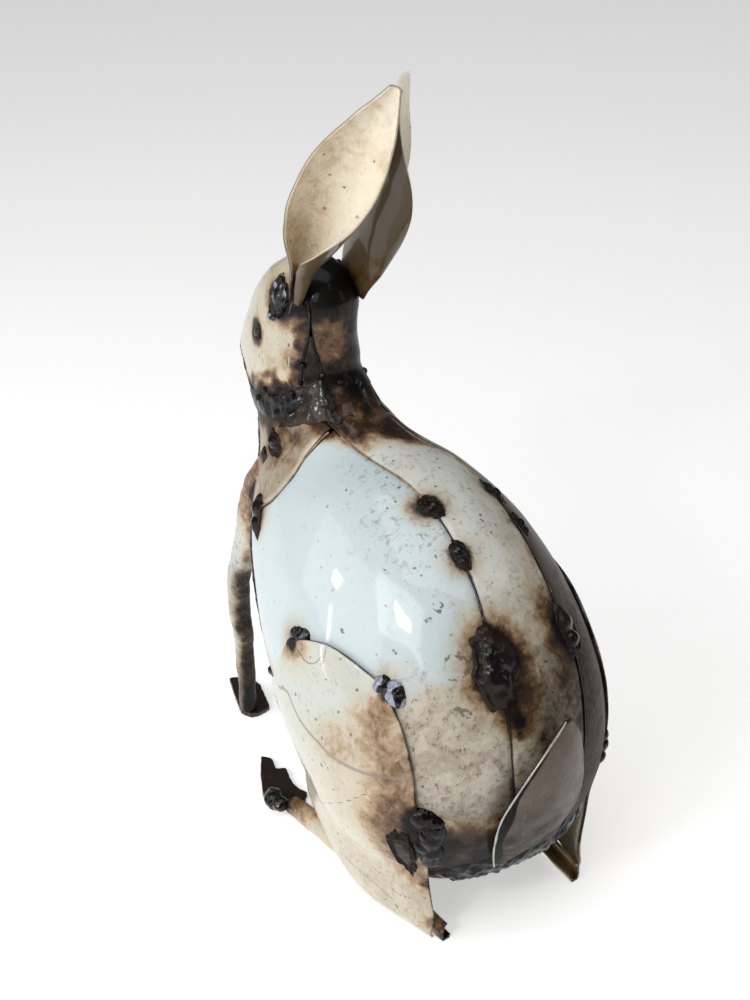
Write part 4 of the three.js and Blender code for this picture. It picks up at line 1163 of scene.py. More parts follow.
# ------------------------------------------------------------------ ears and haunches
def make_ear(side):
    """An ear cup: the rolled sheet, its mouth edge a little wavy, stained at its root. The left
    one is cream with a painted highlight in its middle, and the right one dark brown in painted
    shade where its outer side is seen, with a painted lit strip along one edge."""
    u, v = np.meshgrid(np.linspace(0, 1, 112), spaced(64, 0.5), indexing="ij")
    flat = ears[side](u, v)
    way = 1 if side == "left" else -1
    normals = grid_normals(flat) * way
    points = flat + normals * (0.35 * ripples(flat, 34, 21) + 0.12 * ripples(flat, 12, 22))[..., None]
    soot, scorch, murk = halo_fields(flat, EAR_HALOS)
    rim = bell(np.minimum(*border_distance(flat)), 1.2)
    uneven = ripples(flat, 26, 23)
    if side == "left":
        # painted highlight: the middle of the left ear's hollow keeps less stain
        pale = smooth(1, 0.3, np.hypot((u - 0.44) / 0.3, (v - 0.76) / 0.3))
        stain = 0.15 + 0.16 * smooth(0.6, 0.25, v) + 0.1 * smooth(0.2, 0.9, uneven)
        scorch = scorch + stain * (1 - pale) + 0.05 * rim
        cream, most = 1.0, 0.24
    else:
        # painted light: a pale lit strip by the edge at v = 0, where the light paint replaces the dark
        # brown
        lit_strip = smooth(0.16, 0.06, v) * smooth(0.4, 0.55, u)
        cream = np.clip(1 - lit_strip - smooth(0.88, 0.93, u), 0, 1)
        stain = 0.12 + 0.06 * uneven + 0.25 * smooth(0.55, 0.2, u) * v + 0.1 * rim
        scorch = scorch + stain * cream
        most = 0.6
    scorch = np.clip(scorch, 0, most + 0.6 * smooth(0.2, 0.03, u))
    fields = {"soot": soot, "scorch": scorch, "murk": 0.25 * murk, "cream": cream, "dirt": 0.36}
    part = Part().sheet(points, EAR_SHEET, way, fields)
    part.finish(f"{side}_ear_cup", EAR_PAINT_AND_SHADE, (f"{side}_ear",), "cream_paint")


def make_haunch(side):
    """A haunch plate, with a painted line across it and a few cracks, and soot along its rear
    edge alone."""
    u, v = np.meshgrid(np.linspace(0, 1, 150), spaced(96, 0.4), indexing="ij")
    surface = haunches[side]
    flat = surface(u, v)
    way = 1 if side == "left" else -1
    normals = grid_normals(flat) * way
    edges = border_distance(flat)[0]
    points = hammered(flat, normals, 0.5) - normals * (0.5 * bell(edges, 1.6))[..., None]
    soot, scorch, murk = halo_fields(flat, HAUNCH_HALOS)
    uneven = ripples(flat, 18, 31)
    rear = edges * smooth(0.4, 0.6, v) + 9 * smooth(0.6, 0.4, v)
    edge_soot = 0.6 * bell(rear, 1.1) + 0.2 * np.exp(-rear / 4) * (1 + uneven)
    soot = joined(soot, np.clip(edge_soot, 0, 1))
    scorch = joined(scorch, 0.15 * smooth(0.8, 1.0, u) * (1 + uneven) / 2)
    cracks = [path_distance(flat, line_on(surface, rows, 3)) for rows in HAUNCH_CRACKS]
    fields = {
        "soot": soot, "scorch": 0.9 * scorch, "murk": 0.22 * murk,
        "cream": np.clip(0.36 + 0.64 * smooth(0.35, 0.75, u), 0, 1),
        "dirt": 0.4 + 0.3 * smooth(0.5, 1.0, u),
        "line": path_distance(flat, line_on(surface, HAUNCH_LINE, 8)),
        "crack": np.min(cracks, axis=0),
    }
    part = Part().sheet(points, SHEET, way, fields)
    part.finish(f"{side}_haunch_plate", CREAM_ENAMEL, (f"{side}_haunch",), "cream_paint")


# ------------------------------------------------------------------ legs and feet
SQUARENESS = 0.8


def bar_rings(path, steps, around, floor):
    """Rings of a bar along a path: across * half width * cos + other * half depth * sin, each
    raised to a power below 1 so that the bar is a little square; nothing goes under the
    floor. With them go the share along the bar and how far each point lies to its front."""
    u = np.linspace(0, 1, steps)
    x, y, z, half, depth = np.moveaxis(path(u), -1, 0)
    axis = unit(path(u + 0.01)[..., :3] - points_of(x, y, z))
    across = unit(np.array([1.0, 0, 0]) - axis * axis[:, :1])
    other = np.cross(axis, across)
    turn = np.linspace(0, 2 * np.pi, around, endpoint=False)
    cos, sin = np.cos(turn), np.sin(turn)
    cos, sin = np.sign(cos) * np.abs(cos) ** SQUARENESS, np.sign(sin) * np.abs(sin) ** SQUARENESS
    rings = points_of(x, y, z)[:, None] + np.multiply.outer(half, cos)[..., None] * across[:, None]
    rings = rings + np.multiply.outer(depth, sin)[..., None] * other[:, None]
    rings[..., 2] = np.maximum(rings[..., 2], floor)
    return rings, u[:, None] + 0 * turn, sin + 0 * u[:, None]


def make_foreleg(side):
    """A foreleg: a bar of folded strip, tan above, pale in front and, below, black behind in
    painted shade, with soot at its root, under the shoulder and at the paw."""
    rings, u, front = bar_rings(curve(FORELEG_PATH), 150, 44, PLATE + 0.6)
    rings = rings * mirrored(side)
    out = unit(rings - rings.mean(1, keepdims=True))
    rings = rings + out * (0.5 * ripples(rings, 30, 41) + 0.2 * ripples(rings, 9, 42))[..., None]
    rings[..., 2] = np.maximum(rings[..., 2], PLATE + 0.5)
    uneven = ripples(rings, 16, 43)
    # painted shade on the rear side: black below, browner all along, and more of the brown-grey veil,
    # which lies lightly over the whole lower leg too
    rear = smooth(0.25, 0.95, 0.15 * uneven - front)
    soot = smooth(0.48, 0.62, u) * rear * 0.6 + smooth(0.9, 1.0, u) * 0.7
    soot = np.maximum(soot, 0.9 * bell(u - 0.16, 0.08) * smooth(-0.6, 0.4, -front))
    soot = np.maximum(soot, 0.85 * smooth(0.1, 0.0, u))
    scorch = 0.04 + 0.5 * smooth(0.46, 0.2, u + 0.05 * uneven) + 0.5 * smooth(0.8, 1.0, u)
    scorch = scorch + 0.3 * rear + 0.2 * smooth(0.5, 0.62, u + 0.04 * uneven)
    lower = smooth(0.46, 0.6, u + 0.04 * uneven)
    fields = {
        "soot": np.clip(soot, 0, 1), "scorch": np.clip(scorch, 0, 1),
        "murk": lower * (0.22 + 0.62 * smooth(-0.1, 0.9, 0.2 * uneven - front)),
        "cream": 0.3, "dirt": 0.7,
    }
    part = Part().closed(rings, fields)
    part.finish(f"{side}_foreleg_bar", CREAM_ENAMEL, (f"{side}_foreleg",), "cream_paint")


foot_path = curve(HIND_FOOT_PATH)


def make_hind_foot(side):
    """A hind foot: sheet rolled round its path from one angle to another, flat below."""
    u, v = grid(92, 46)
    x, y, z, half, depth = np.moveaxis(foot_path(u), -1, 0)
    turn = np.radians(mix(FOOT_ROLL[1], FOOT_ROLL[0], v))
    flat = points_of(x + half * np.cos(turn), y, z + depth * np.sin(turn))
    flat[..., 2] = np.maximum(flat[..., 2], 0.25)
    if side == "right":
        flat = heel_in(flat) * mirrored(side)
    way = 1 if side == "left" else -1
    uneven = ripples(flat, 14, 51)
    normals = grid_normals(flat) * way
    points = flat + normals * (0.3 * ripples(flat, 20, 52))[..., None]
    points[..., 2] = np.maximum(points[..., 2], 0.0)
    scorch = 0.12 + 0.5 * smooth(0.7, 1.0, u) + 0.5 * smooth(0.12, 0.0, u) + 0.1 * uneven
    soot = 0.9 * smooth(0.93, 1.0, u) + 0.6 * smooth(0.06, 0.0, u)
    fields = {"scorch": np.clip(scorch, 0, 1), "soot": np.clip(soot, 0, 1), "cream": 1.0, "dirt": 0.6}
    part = Part().sheet(points, SHEET, way, fields)
    part.finish(f"{side}_hind_foot_fold", CREAM_ENAMEL, (f"{side}_hind_foot",), "cream_paint")


PLATE_STEPS = 240
# reach from the middle and height of the rings of a cut plate, as shares
PLATE_PROFILE = np.array([
    (0.02, 1), (0.3, 1), (0.6, 1), (0.8, 1), (0.93, 1), (0.98, 0.99), (1.0, 0.88), (1.0, 0.1),
    (0.98, 0), (0.6, 0), (0.02, 0),
])


def make_plate(side, name, outline, middle, seed):
    """A cut plate: rings run from its middle over the top to the outline and back below; the
    outline's corners are a little rounded and its edge burnt uneven."""
    corners = np.array([*outline, outline[0]], float)
    along = np.concatenate([[0.0], np.cumsum(np.linalg.norm(np.diff(corners, axis=0), axis=1))])
    places = np.linspace(0, along[-1], PLATE_STEPS, endpoint=False)
    edge = np.stack([np.interp(places, along, corners[:, axis]) for axis in (0, 1)], -1)
    edge = (edge + np.roll(edge, 2, axis=0) + np.roll(edge, -2, axis=0)) / 3
    t, z = PLATE_PROFILE[:, 0], PLATE_PROFILE[:, 1] * PLATE
    out = np.multiply.outer(t, edge - middle) + middle
    rings = points_of(out[..., 0], out[..., 1], z[:, None])
    bite = 0.5 + 0.3 * ripples(rings, 8, seed) + 0.2 * ripples(rings, 3, seed + 1)
    inward = unit(edge - middle) * -1
    rings[..., :2] += inward * (np.clip(bite, 0.05, 1.2) * t[:, None] ** 4)[..., None]
    sunk = np.clip(0.25 * ripples(rings, 7, seed + 2) + 0.25, 0, 0.6) * (z[:, None] > 3)
    rings[..., 2] -= sunk
    part = Part().closed(rings * mirrored(side))
    part.finish(f"{side}_{name}_plate", PLATE_STEEL, (f"{side}_{name}",), "dark_steel")


# ------------------------------------------------------------------ tail
def make_tail():
    """The tail is two leaves: the back one shows its bright cut edge on the left, and the
    front one stops short of it along a wavy line."""
    u, v = np.meshgrid(np.linspace(0, 1, 92), spaced(46, 0.5), indexing="ij")
    flat = tail_surface(u, v)
    normals = grid_normals(flat)
    fields = {"soot": 0.95, "scorch": 0.9, "cream": 1.0, "dirt": 0.4}
    back = Part().sheet(flat - normals * 0.9, 0.6, 1, fields)
    back.finish("tail_back_leaf", PINK_ENAMEL, (), "pink_grey_paint")

    narrow = 0.06 + 0.045 * np.sin(3.1 * u + 0.4) + 0.02 * np.sin(17 * u) + 0.05 * smooth(0.25, 0.0, u)
    shrunk = v * (1 - np.clip(narrow, 0.02, 0.2))
    front = tail_surface(0.012 + 0.97 * u, shrunk)
    edges = np.minimum(*border_distance(front))
    raised = 0.25 * ripples(front, 22, 61) - 0.6 - 0.3 * bell(edges, 1.2)
    front = front + normals * raised[..., None]
    uneven = ripples(front, 14, 62)
    soot = 0.8 * bell(edges, 0.9) + 0.8 * smooth(0.2, 0.0, u) * smooth(0.9, 0.3, v)
    scorch = 0.1 + 0.45 * smooth(0.5, 0.0, v) + 0.5 * smooth(0.4, 0.0, u) + 0.1 * uneven
    streak = smooth(0.35, 0.95, ripples(front * (1, 0.4, 0.4), 7, 63))
    streak = streak * smooth(0.6, 0.9, v) * smooth(0.8, 0.3, u)
    # painted shade: the brown-grey veil darkens the leaf towards its lower end
    fields = {
        "soot": np.clip(soot, 0, 1), "scorch": np.clip(scorch - 0.2 * streak, 0, 1),
        "murk": 0.88 * smooth(0.62, 0.1, u + 0.08 * uneven), "cream": 1 - streak, "dirt": 0.7,
    }
    part = Part().sheet(front, 0.8, 1, fields)
    part.finish("tail_front_leaf", PINK_ENAMEL, ("tail",), "pink_grey_paint")

    share = np.linspace(0.0, 1.0, 120)
    edge_line = tail_surface(share, 0.992 + 0 * share)
    rim = Part().closed(tube(edge_line, 0.62 + 0.15 * ripples(edge_line, 12, 64)))
    rim.finish("tail_rim", EDGE_STEEL, (), "pink_grey_paint")


# ------------------------------------------------------------------ welds
TUBE_SIDES = 10
SEAM_STEPS = 260
SOFT_JOIN = 1.3   # how sharply the beads of a weld patch meet: larger is sharper


def tube(line, radii):
    """Rings round a line: two directions square to it, cos and sin times the radius."""
    axis = unit(np.gradient(line, axis=0))
    first = unit(np.cross(axis, np.array([0.0, 0.0, 1.0])))
    second = np.cross(first, axis)
    turn = np.linspace(0, 2 * np.pi, TUBE_SIDES, endpoint=False)
    radii = np.broadcast_to(radii, (len(line),))[:, None, None]
    circle = first[:, None] * np.cos(turn)[:, None] + second[:, None] * np.sin(turn)[:, None]
    return line[:, None] + circle * radii


def seam(name, point, rows, radius, seed, lift=-0.4, pale=False):
    """A thin line of dark weld in a seam: a tube just below the surface that swells here and
    there. A pale one is a fillet of filler and paint instead, with an even radius."""
    rows = np.array(rows, float)
    along = curve(np.column_stack([np.linspace(0, 1, len(rows)), rows]))
    a, b = along(np.linspace(0, 1, SEAM_STEPS)).T
    base = point(a, b)
    out = normal_at(in_hundreds(point), a, b / 100)
    swell = ripples(base, 14, seed)
    line = base + out * (lift + 0.25 * np.clip(swell, 0, 1))[:, None]
    if pale:
        marks = {"soot": 0.3, "scorch": 0.32, "murk": 0.4, "cream": 1.0, "dirt": 0.6}
        Part().closed(tube(line, radius), marks).finish(name, CREAM_ENAMEL, (), "weld")
        return
    thick = radius * (1 + 0.3 * swell + 0.2 * ripples(base, 4, seed + 1))
    Part().closed(tube(line, np.maximum(thick, 0.25))).finish(name, WELD, (), "weld")


def weld_patch(part, point, centre, radii, beads, crust, seed, rim, silver_tint_and_highlight=0.0, burnt=1.6):
    """A weld lying on a surface: rings from its middle to its ragged rim, laid out over the
    surface. Its height is the smooth largest of a wrinkled crust and of round beads, with
    ripples and a ridge near the rim, and the rim itself dips below the surface."""
    share, hundreds = centre[0], centre[1] / 100
    wide = in_hundreds(point)
    here = wide(share, hundreds)
    reach_u = np.linalg.norm(wide(share + SMALL_STEP, hundreds) - here) / SMALL_STEP
    reach_v = np.linalg.norm(wide(share, hundreds + SMALL_STEP) - here) / SMALL_STEP
    rows = 22 + int(max(radii))
    t = np.concatenate([np.linspace(0.02, 1, rows), [1.0, 0.6, 0.05]])[:, None]
    drop = np.concatenate([np.zeros(rows), [1.3, 1.9, 1.9]])[:, None]
    turn = np.linspace(0, 2 * np.pi, 56 + 2 * int(max(radii)), endpoint=False)
    outline = 1 + 0.08 * np.sin(2 * turn + seed) + 0.06 * np.sin(3 * turn + 2.1 * seed)
    outline = outline + 0.06 * np.sin(7 * turn + seed) + 0.04 * np.sin(13 * turn + 4 * seed)
    x, y = radii[0] * t * np.cos(turn) * outline, radii[1] * t * np.sin(turn) * outline
    flat = np.stack([x, y, 0 * x], -1)
    ridge = rim * bell(t - 0.84, 0.1) * (0.7 + 0.5 * np.sin(2 * turn + seed))
    wrinkles = 0.32 * ripples(flat, 5.5, seed) + 0.1 * ripples(flat, 2.6, seed + 1)
    wrinkles = wrinkles + 0.28 * np.sin(24 * t + 2.5 * ripples(flat, 14, seed + 2))
    wrinkles = wrinkles * smooth(0.3, 0.6, t)
    low = crust * np.clip(1 - t**2, 0, 1) ** 0.5 + ridge + min(crust, 1) * wrinkles
    total = np.exp(SOFT_JOIN * low)
    for bead_x, bead_y, bead_radius, bead_height in beads:
        gap = ((x - bead_x) ** 2 + (y - bead_y) ** 2) / bead_radius**2
        total = total + np.exp(SOFT_JOIN * bead_height * np.clip(1 - gap, 0, 1) ** 0.7) - 1
    high = np.log(np.maximum(total, 0.1)) / SOFT_JOIN
    high = high + 0.1 * ripples(flat, 7, seed + 3) * (1 - t**4) - 0.9 * t**8 - drop
    places = (share + x / reach_u, hundreds + y / reach_v)
    rings = wide(*places) + normal_at(wide, *places) * high[..., None]
    # silvery patches, part heat tint and part painted highlight, go into the cream field
    shine = silver_tint_and_highlight * smooth(0.2, 0.9, ripples(flat, 6, seed + 5)) * smooth(0.3, 0.6, t)
    return part.closed(rings, {"cream": shine, "scorch": burnt * smooth(0.35, 0.75, t) + 0 * x})


def lump(part, centre, radii, seed, rough, floor, silver_tint_and_highlight=0.0):
    """A blob of weld: a ball stretched three ways, with an uneven skin, cut off at the floor;
    small ones are made of fewer rings."""
    way = ball_ways(10 + 2 * int(max(radii)))
    size = 1 + rough * ripples(way, 1.5, seed) + 0.4 * rough * ripples(way, 0.6, seed + 1)
    points = np.array(centre, float) + way * size[..., None] * np.array(radii, float)
    points[..., 2] = np.maximum(points[..., 2], floor)
    # silvery patches, part heat tint and part painted highlight, go into the cream field
    shine = silver_tint_and_highlight * smooth(0.1, 0.9, ripples(way, 1.2, seed + 3))
    return part.closed(points, {"cream": shine, "scorch": 0.3})


def ball_ways(fine):
    """Directions all round, from top to bottom."""
    down = np.linspace(0.03, math.pi - 0.03, fine)[:, None]
    turn = np.linspace(0, 2 * np.pi, 2 * fine, endpoint=False)
    ahead, across = np.sin(down) * np.cos(turn), np.sin(down) * np.sin(turn)
    return points_of(ahead, across, np.cos(down) + 0 * turn)


FLOOR = 0.2         # height that loose welds stay over
CLUSTER_RINGS = 54
BALL_JOIN = 0.3     # how sharply the balls of a cluster meet: larger is sharper
BALL_SHRINK = 2.3   # what the smooth largest adds, taken off again
FARTHEST = 40


def cluster(part, balls, seed, silver_tint_and_highlight, way):
    """Balls of weld that have run together: along each direction from the middle, the smooth
    largest of the distances at which it leaves a ball, d . c + root((d . c)^2 - c . c + r^2)."""
    balls = np.array(balls, float) * (way, 1, 1, 1)
    middle = balls[0, :3]
    ways = ball_ways(CLUSTER_RINGS)
    total = np.zeros(ways.shape[:2])
    for x, y, z, radius in balls:
        offset = np.array([x, y, z]) - middle
        near = ways @ offset
        inside = near**2 - offset @ offset + radius**2
        leave = near + np.sqrt(np.maximum(inside, 0))
        share = np.exp(BALL_JOIN * np.minimum(leave, FARTHEST))
        total = total + np.where(inside > 0, share, 0)
    reach = np.log(np.maximum(total, 1.0)) / BALL_JOIN - BALL_SHRINK
    wrinkled = ways * reach[..., None]
    reach = reach - 0.5 + 0.4 * ripples(wrinkled, 7, seed) + 0.2 * ripples(wrinkled, 3, seed + 1)
    points = middle + ways * reach[..., None]
    points[..., 2] = np.maximum(points[..., 2], FLOOR)
    # silvery patches, part heat tint and part painted highlight, go into the cream field
    shine = silver_tint_and_highlight * smooth(-0.5, 0.9, ripples(points, 10, seed + 3))
    crust = 0.5 * smooth(0.2, 1, ripples(points, 9, seed + 4))
    return part.closed(points, {"cream": shine, "scorch": crust})


# share and angle of the middle, radii, beads (place, radius and height), crust and rim
SEAM_WELDS = [
    [(0.827, 9), (9, 7), [(0, -1, 4.6, 3.4), (-1, 4, 3.2, 1.6)], 1.0, 0.3],
    [(0.748, 9.7), (10, 6.5), [(2, 0, 4.6, 3.4), (-5, 0.5, 3, 1.8)], 0.9, 0.3],
    [
        (0.567, 14.6), (24, 14.5),
        [
            (3, -0.5, 8.5, 5.6), (-7, 1.5, 9, 6.2), (12, -2.5, 7.5, 4.6), (-16, 2, 7, 4.4),
            (20, -2, 5.5, 3.4), (-2, 4, 6, 5.6), (8, 1.5, 5, 5.2), (-12, -2, 5, 4.6), (-23, 3, 4, 2.4),
            (0, -7, 5, 3.2), (-8, 9, 5, 2.4),
        ],
        0.7, 0.8,
    ],
    [(0.80, -38), (10, 6.5), [(0, 0, 4.6, 3.0), (6, 1, 3, 2.0)], 0.9, 0.3],
    [(0.745, -34.5), (9, 6), [(0, 0, 4.2, 2.8), (-5, 0, 3, 1.8)], 0.9, 0.3],
    [(0.567, -23), (18, 9), [(6, 1, 6.5, 4.6), (-5, 0, 5.5, 4.4), (13, 0, 4, 2.4)], 1.0, 0.6],
]
SHOULDER_WELDS = [
    [(0.955, 92), (11, 8), [(1, 0, 5.4, 4.2), (-5, 3, 3, 2.0)], 1.0, 0.6],
    [(0.835, 110), (16, 8), [(4, 0, 6, 4.2), (-6, 1, 6, 3.8)], 1.2, 0.6],
]
EYE = [(0.5, 90), (7, 6), [(0, 0, 3.4, 1.8)], 0.4]
EAR_RING = [(0.73, 69), (13.5, 9.5), [(2, 0, 5.5, 2.0), (-8, -5, 3.4, 3.0), (-3, -7, 3, 2.2)], 0.6]
# seed, share of silvery colour, part heat tint and part painted highlight, and x, y, z and
# radius of the balls of each loose weld, the middle one first
LEFT_CLUSTERS = {
    "haunch_weld_1": (
        41, 0.5, [(85, 0, 183.5, 8.2), (85, 6.5, 185, 6.2), (85, -6, 181, 6.2), (88, 1, 180, 5.5)]
    ),
    "haunch_weld_2": (
        43, 2.2, [(72, 69, 176, 8.5), (74.5, 62, 180, 6.5), (70, 75, 173, 6.5), (68, 70, 180, 6)]
    ),
    "haunch_weld_3": (
        45, 0.12,
        [
            (68, 101, 92, 9.5), (72, 97.5, 106, 8.5), (66, 103, 104, 7), (67, 101, 99, 9),
            (66, 101, 85, 9), (65, 102, 77, 8), (71, 97, 83, 7), (66, 101, 70, 6.5), (62, 104, 95, 7),
        ],
    ),
    "toe_weld": (54, 0.45, [(73, -59, 8, 7.2), (71, -66, 7.5, 6), (73, -52, 8, 6), (76, -62, 7, 5)]),
}
RIGHT_CLUSTERS = {
    "haunch_weld_1": LEFT_CLUSTERS["haunch_weld_1"],
    "haunch_weld_2": (49, 0.2, [(70, 101, 92, 8), (70, 100, 101, 6.5), (67, 102, 83, 6.5)]),
    "toe_weld": LEFT_CLUSTERS["toe_weld"],
}


# middle, three radii and seed
LUMPS = {
    "crown_weld": ((0, -118, 370), (7.5, 8.5, 3.6), 51),
    "base_weld": ((0, 87, 22), (8.5, 8.5, 3.4), 52),
}
# share of the head, angle and radius of the loose beads round the neck
NECK_BEADS = [
    (0.09, 8, 2.2), (0.05, -13, 2.4), (0.16, 24, 1.6), (0.25, 42, 2.3), (0.06, 58, 2.4), (0.1, 88, 2.0),
    (0.03, 104, 2.4), (0.13, 47, 1.5), (0.07, -58, 2.2), (0.08, -96, 2.2), (0.02, 150, 2.2),
    (0.02, -150, 2.2),
]


def make_welds():
    """The welds on the seams, shoulders, eyes and ears as patches, the loose ones as clusters
    and lumps. The left haunch's third weld has a flat petal beside it."""
    for number, (centre, radii, beads, crust, rim) in enumerate(SEAM_WELDS, 1):
        part = weld_patch(Part(), body_point, centre, radii, beads, crust, number, rim)
        part.finish(f"seam_weld_{number}_beads", WELD, (f"seam_weld_{number}",), "weld")
    for side, way in (("left", 1), ("right", -1)):
        for number, ((share, angle), radii, beads, crust, rim) in enumerate(SHOULDER_WELDS, 1):
            place, seed = (share, way * angle), number + 20 + way
            part = weld_patch(Part(), body_point, place, radii, beads, crust, seed, rim, 0.2)
            name = f"{side}_shoulder_weld_{number}"
            part.finish(name + "_beads", WELD, (name,), "weld")
        (share, angle), *form = EYE
        part = weld_patch(Part(), head_point, (share, way * angle), *form, 31, 0.7)
        part.finish(f"{side}_eye_bead", WELD, (f"{side}_eye",), "weld")
        (share, angle), *form = EAR_RING
        part = weld_patch(Part(), head_point, (share, way * angle), *form, 33, 2.4, 0.8, 0.3)
        part.finish(f"{side}_ear_weld_ring", WELD, (f"{side}_ear_weld",), "weld")

    for side, way, clusters in (("left", 1, LEFT_CLUSTERS), ("right", -1, RIGHT_CLUSTERS)):
        for name, (seed, silver_tint_and_highlight, balls) in clusters.items():
            part = cluster(Part(), balls, seed, silver_tint_and_highlight, way)
            if name == "haunch_weld_3":
                petal = lambda u, hundredths: haunches["left"](u, hundredths / 100)
                weld_patch(part, petal, (0.77, 90), (24, 8), [], 1.2, 61, 0.9)
            low = name == "haunch_weld_3" or (side, name) == ("right", "haunch_weld_2")
            material = SOOTY_WELD if low else WELD
            part.finish(f"{side}_{name}_beads", material, (f"{side}_{name}",), "weld")
    for name, (centre, radii, seed) in LUMPS.items():
        lump(Part(), centre, radii, seed, 0.1, FLOOR).finish(name + "_beads", WELD, (name,), "weld")


def wound(rings):
    """Point numbers of rings that close on themselves both ways."""
    index = np.arange(rings.shape[0] * rings.shape[1]).reshape(rings.shape[:2])
    index = np.column_stack([index, index[:, 0]])
    return grid_quads(np.vstack([index, index[:1]]))


BAND_STEPS = 30   # points across the outer side of a band of weld
INNER_STEPS = 6   # and across the inner side of the neck's


def neck_ring(start_share, end_share, swell, crumple, nape):
    """A strip all round the joint of body and head, as a parabola from the one to the other
    through a point swollen out over the joint, crumpled at two scales, with a side below."""
    turn = np.linspace(0, 360, 280, endpoint=False)
    joint = (body_point(1.0, turn) + head_point(0.0 * turn, turn)) / 2
    along = unit(head_point(0.05 + 0 * turn, turn) - body_point(0.985, turn))
    around = unit(np.roll(joint, -1, 0) - np.roll(joint, 1, 0))
    out = np.cross(around, along)
    out = out * np.sign((out * (joint - joint.mean(0))).sum(-1, keepdims=True))
    ragged = ripples(joint, 9, 86)
    start = body_point(start_share - 0.003 * ragged, turn)
    end = head_point(end_share + 0.02 * ragged, turn)
    swell = mix(swell, nape, smooth(60, 40, np.abs(within_half_turn(turn))))
    swell = swell + 0.5 * ripples(joint, 14, 82)
    w = np.linspace(0, 1, BAND_STEPS)
    bend = joint + out * (2 * swell)[:, None]
    outer = np.stack([(1 - t) ** 2 * start + 2 * t * (1 - t) * bend + t * t * end for t in w], 1)
    rough = crumple * (ripples(outer, 11, 83) + 0.5 * ripples(outer, 5, 84)) * np.sin(np.pi * w) ** 0.5
    outer = outer + out[:, None] * (rough - 0.9 * (np.abs(2 * w - 1) > 0.98))[..., None]
    back = np.linspace(0, 1, INNER_STEPS)
    inner = [mix(end, start, t) - out * (2.2 + 1.6 * np.sin(np.pi * t)) for t in back]
    rings = np.concatenate([outer, np.stack(inner, 1)], 1)
    peak_highlight = np.zeros(rings.shape[:2])
    peak_highlight[:, :BAND_STEPS] = smooth(0.35, 1.1, rough / crumple)
    return rings, peak_highlight.ravel(), ragged


def make_neck_band():
    """The neck weld: a crumpled band round the sides and the throat, and a burnt fillet that
    fills the joint smoothly over the nape, with loose beads."""
    rings, peak_highlight, _ = neck_ring(0.994, 0.055, 0.7, 0.7, -1.6)
    # painted highlight: silvery on the crumples' crests, through the cream field
    part = Part().add(rings.reshape(-1, 3), [wound(rings)], {"cream": 0.5 * peak_highlight, "scorch": 0.1})
    for number, (share, angle, radius) in enumerate(NECK_BEADS):
        centre = head_point(np.array(share), np.array(float(angle)))
        lump(part, centre, (radius,) * 3, 90 + number, 0.08, FLOOR, 0.6)
    part.finish("neck_weld_band", SOOTY_WELD, ("neck_weld",), "weld")
    rings, _, ragged = neck_ring(0.98, 0.115, -0.8, 0.3, 0.5)
    grade = np.concatenate([np.linspace(0.3, 0.8, BAND_STEPS), np.full(INNER_STEPS, 0.6)])
    soot = np.clip(grade + 0.3 * ragged[:, None], 0, 1)
    fields = {"soot": soot.ravel(), "scorch": 0.8, "cream": 1.0}
    part = Part().add(rings.reshape(-1, 3), [wound(rings)], fields)
    part.finish("neck_fillet", CREAM_ENAMEL, (), "scorched_paint")


RUMP_REACH = 66   # angle to which the rump's band runs on both sides
RUMP_DEPTH = 2.2


def make_rump_band():
    """The weld under the rump: a wide crumpled band along the lower edge of the body, thick
    below and thin above."""
    angle = np.linspace(-RUMP_REACH, RUMP_REACH, SEAM_STEPS)[:, None]
    uneven = ripples(body_point(0.12, angle[:, 0]), 16, 101)[:, None]
    across = np.linspace(0, 1, BAND_STEPS)
    share = 0.088 + across * (0.072 + 0.016 * uneven)
    hundreds = angle / 100 + 0 * across
    taper = smooth(RUMP_REACH, 56, np.abs(angle)) * 0.9 + 0.1
    dome = np.sin(np.pi * across) ** 0.6
    outer = body_wide(share, hundreds)
    crumple = 0.9 * ripples(outer, 9, 103) + 0.45 * ripples(outer, 4, 104)
    thick = (2.4 + crumple) * dome * taper - 0.6
    normal = normal_at(body_wide, share, hundreds)
    inner = outer[:, ::-1] - normal[:, ::-1] * RUMP_DEPTH
    rings = np.concatenate([outer + normal * thick[..., None], inner[:, 1:-1]], 1)
    brown = np.zeros(rings.shape[:2])
    brown[:, :BAND_STEPS] = 1.2 * smooth(0.2, 0.9, ripples(outer, 22, 105))
    part = Part().closed(rings, {"scorch": brown})
    part.finish("rump_weld_band", SOOTY_WELD, ("rump_weld",), "weld")


def back_rows(column, start, end):
    """Rows of one of the two back seams between two shares."""
    shares = np.linspace(start, end, 24)
    return np.column_stack([shares, back_seams(shares)[..., column]])


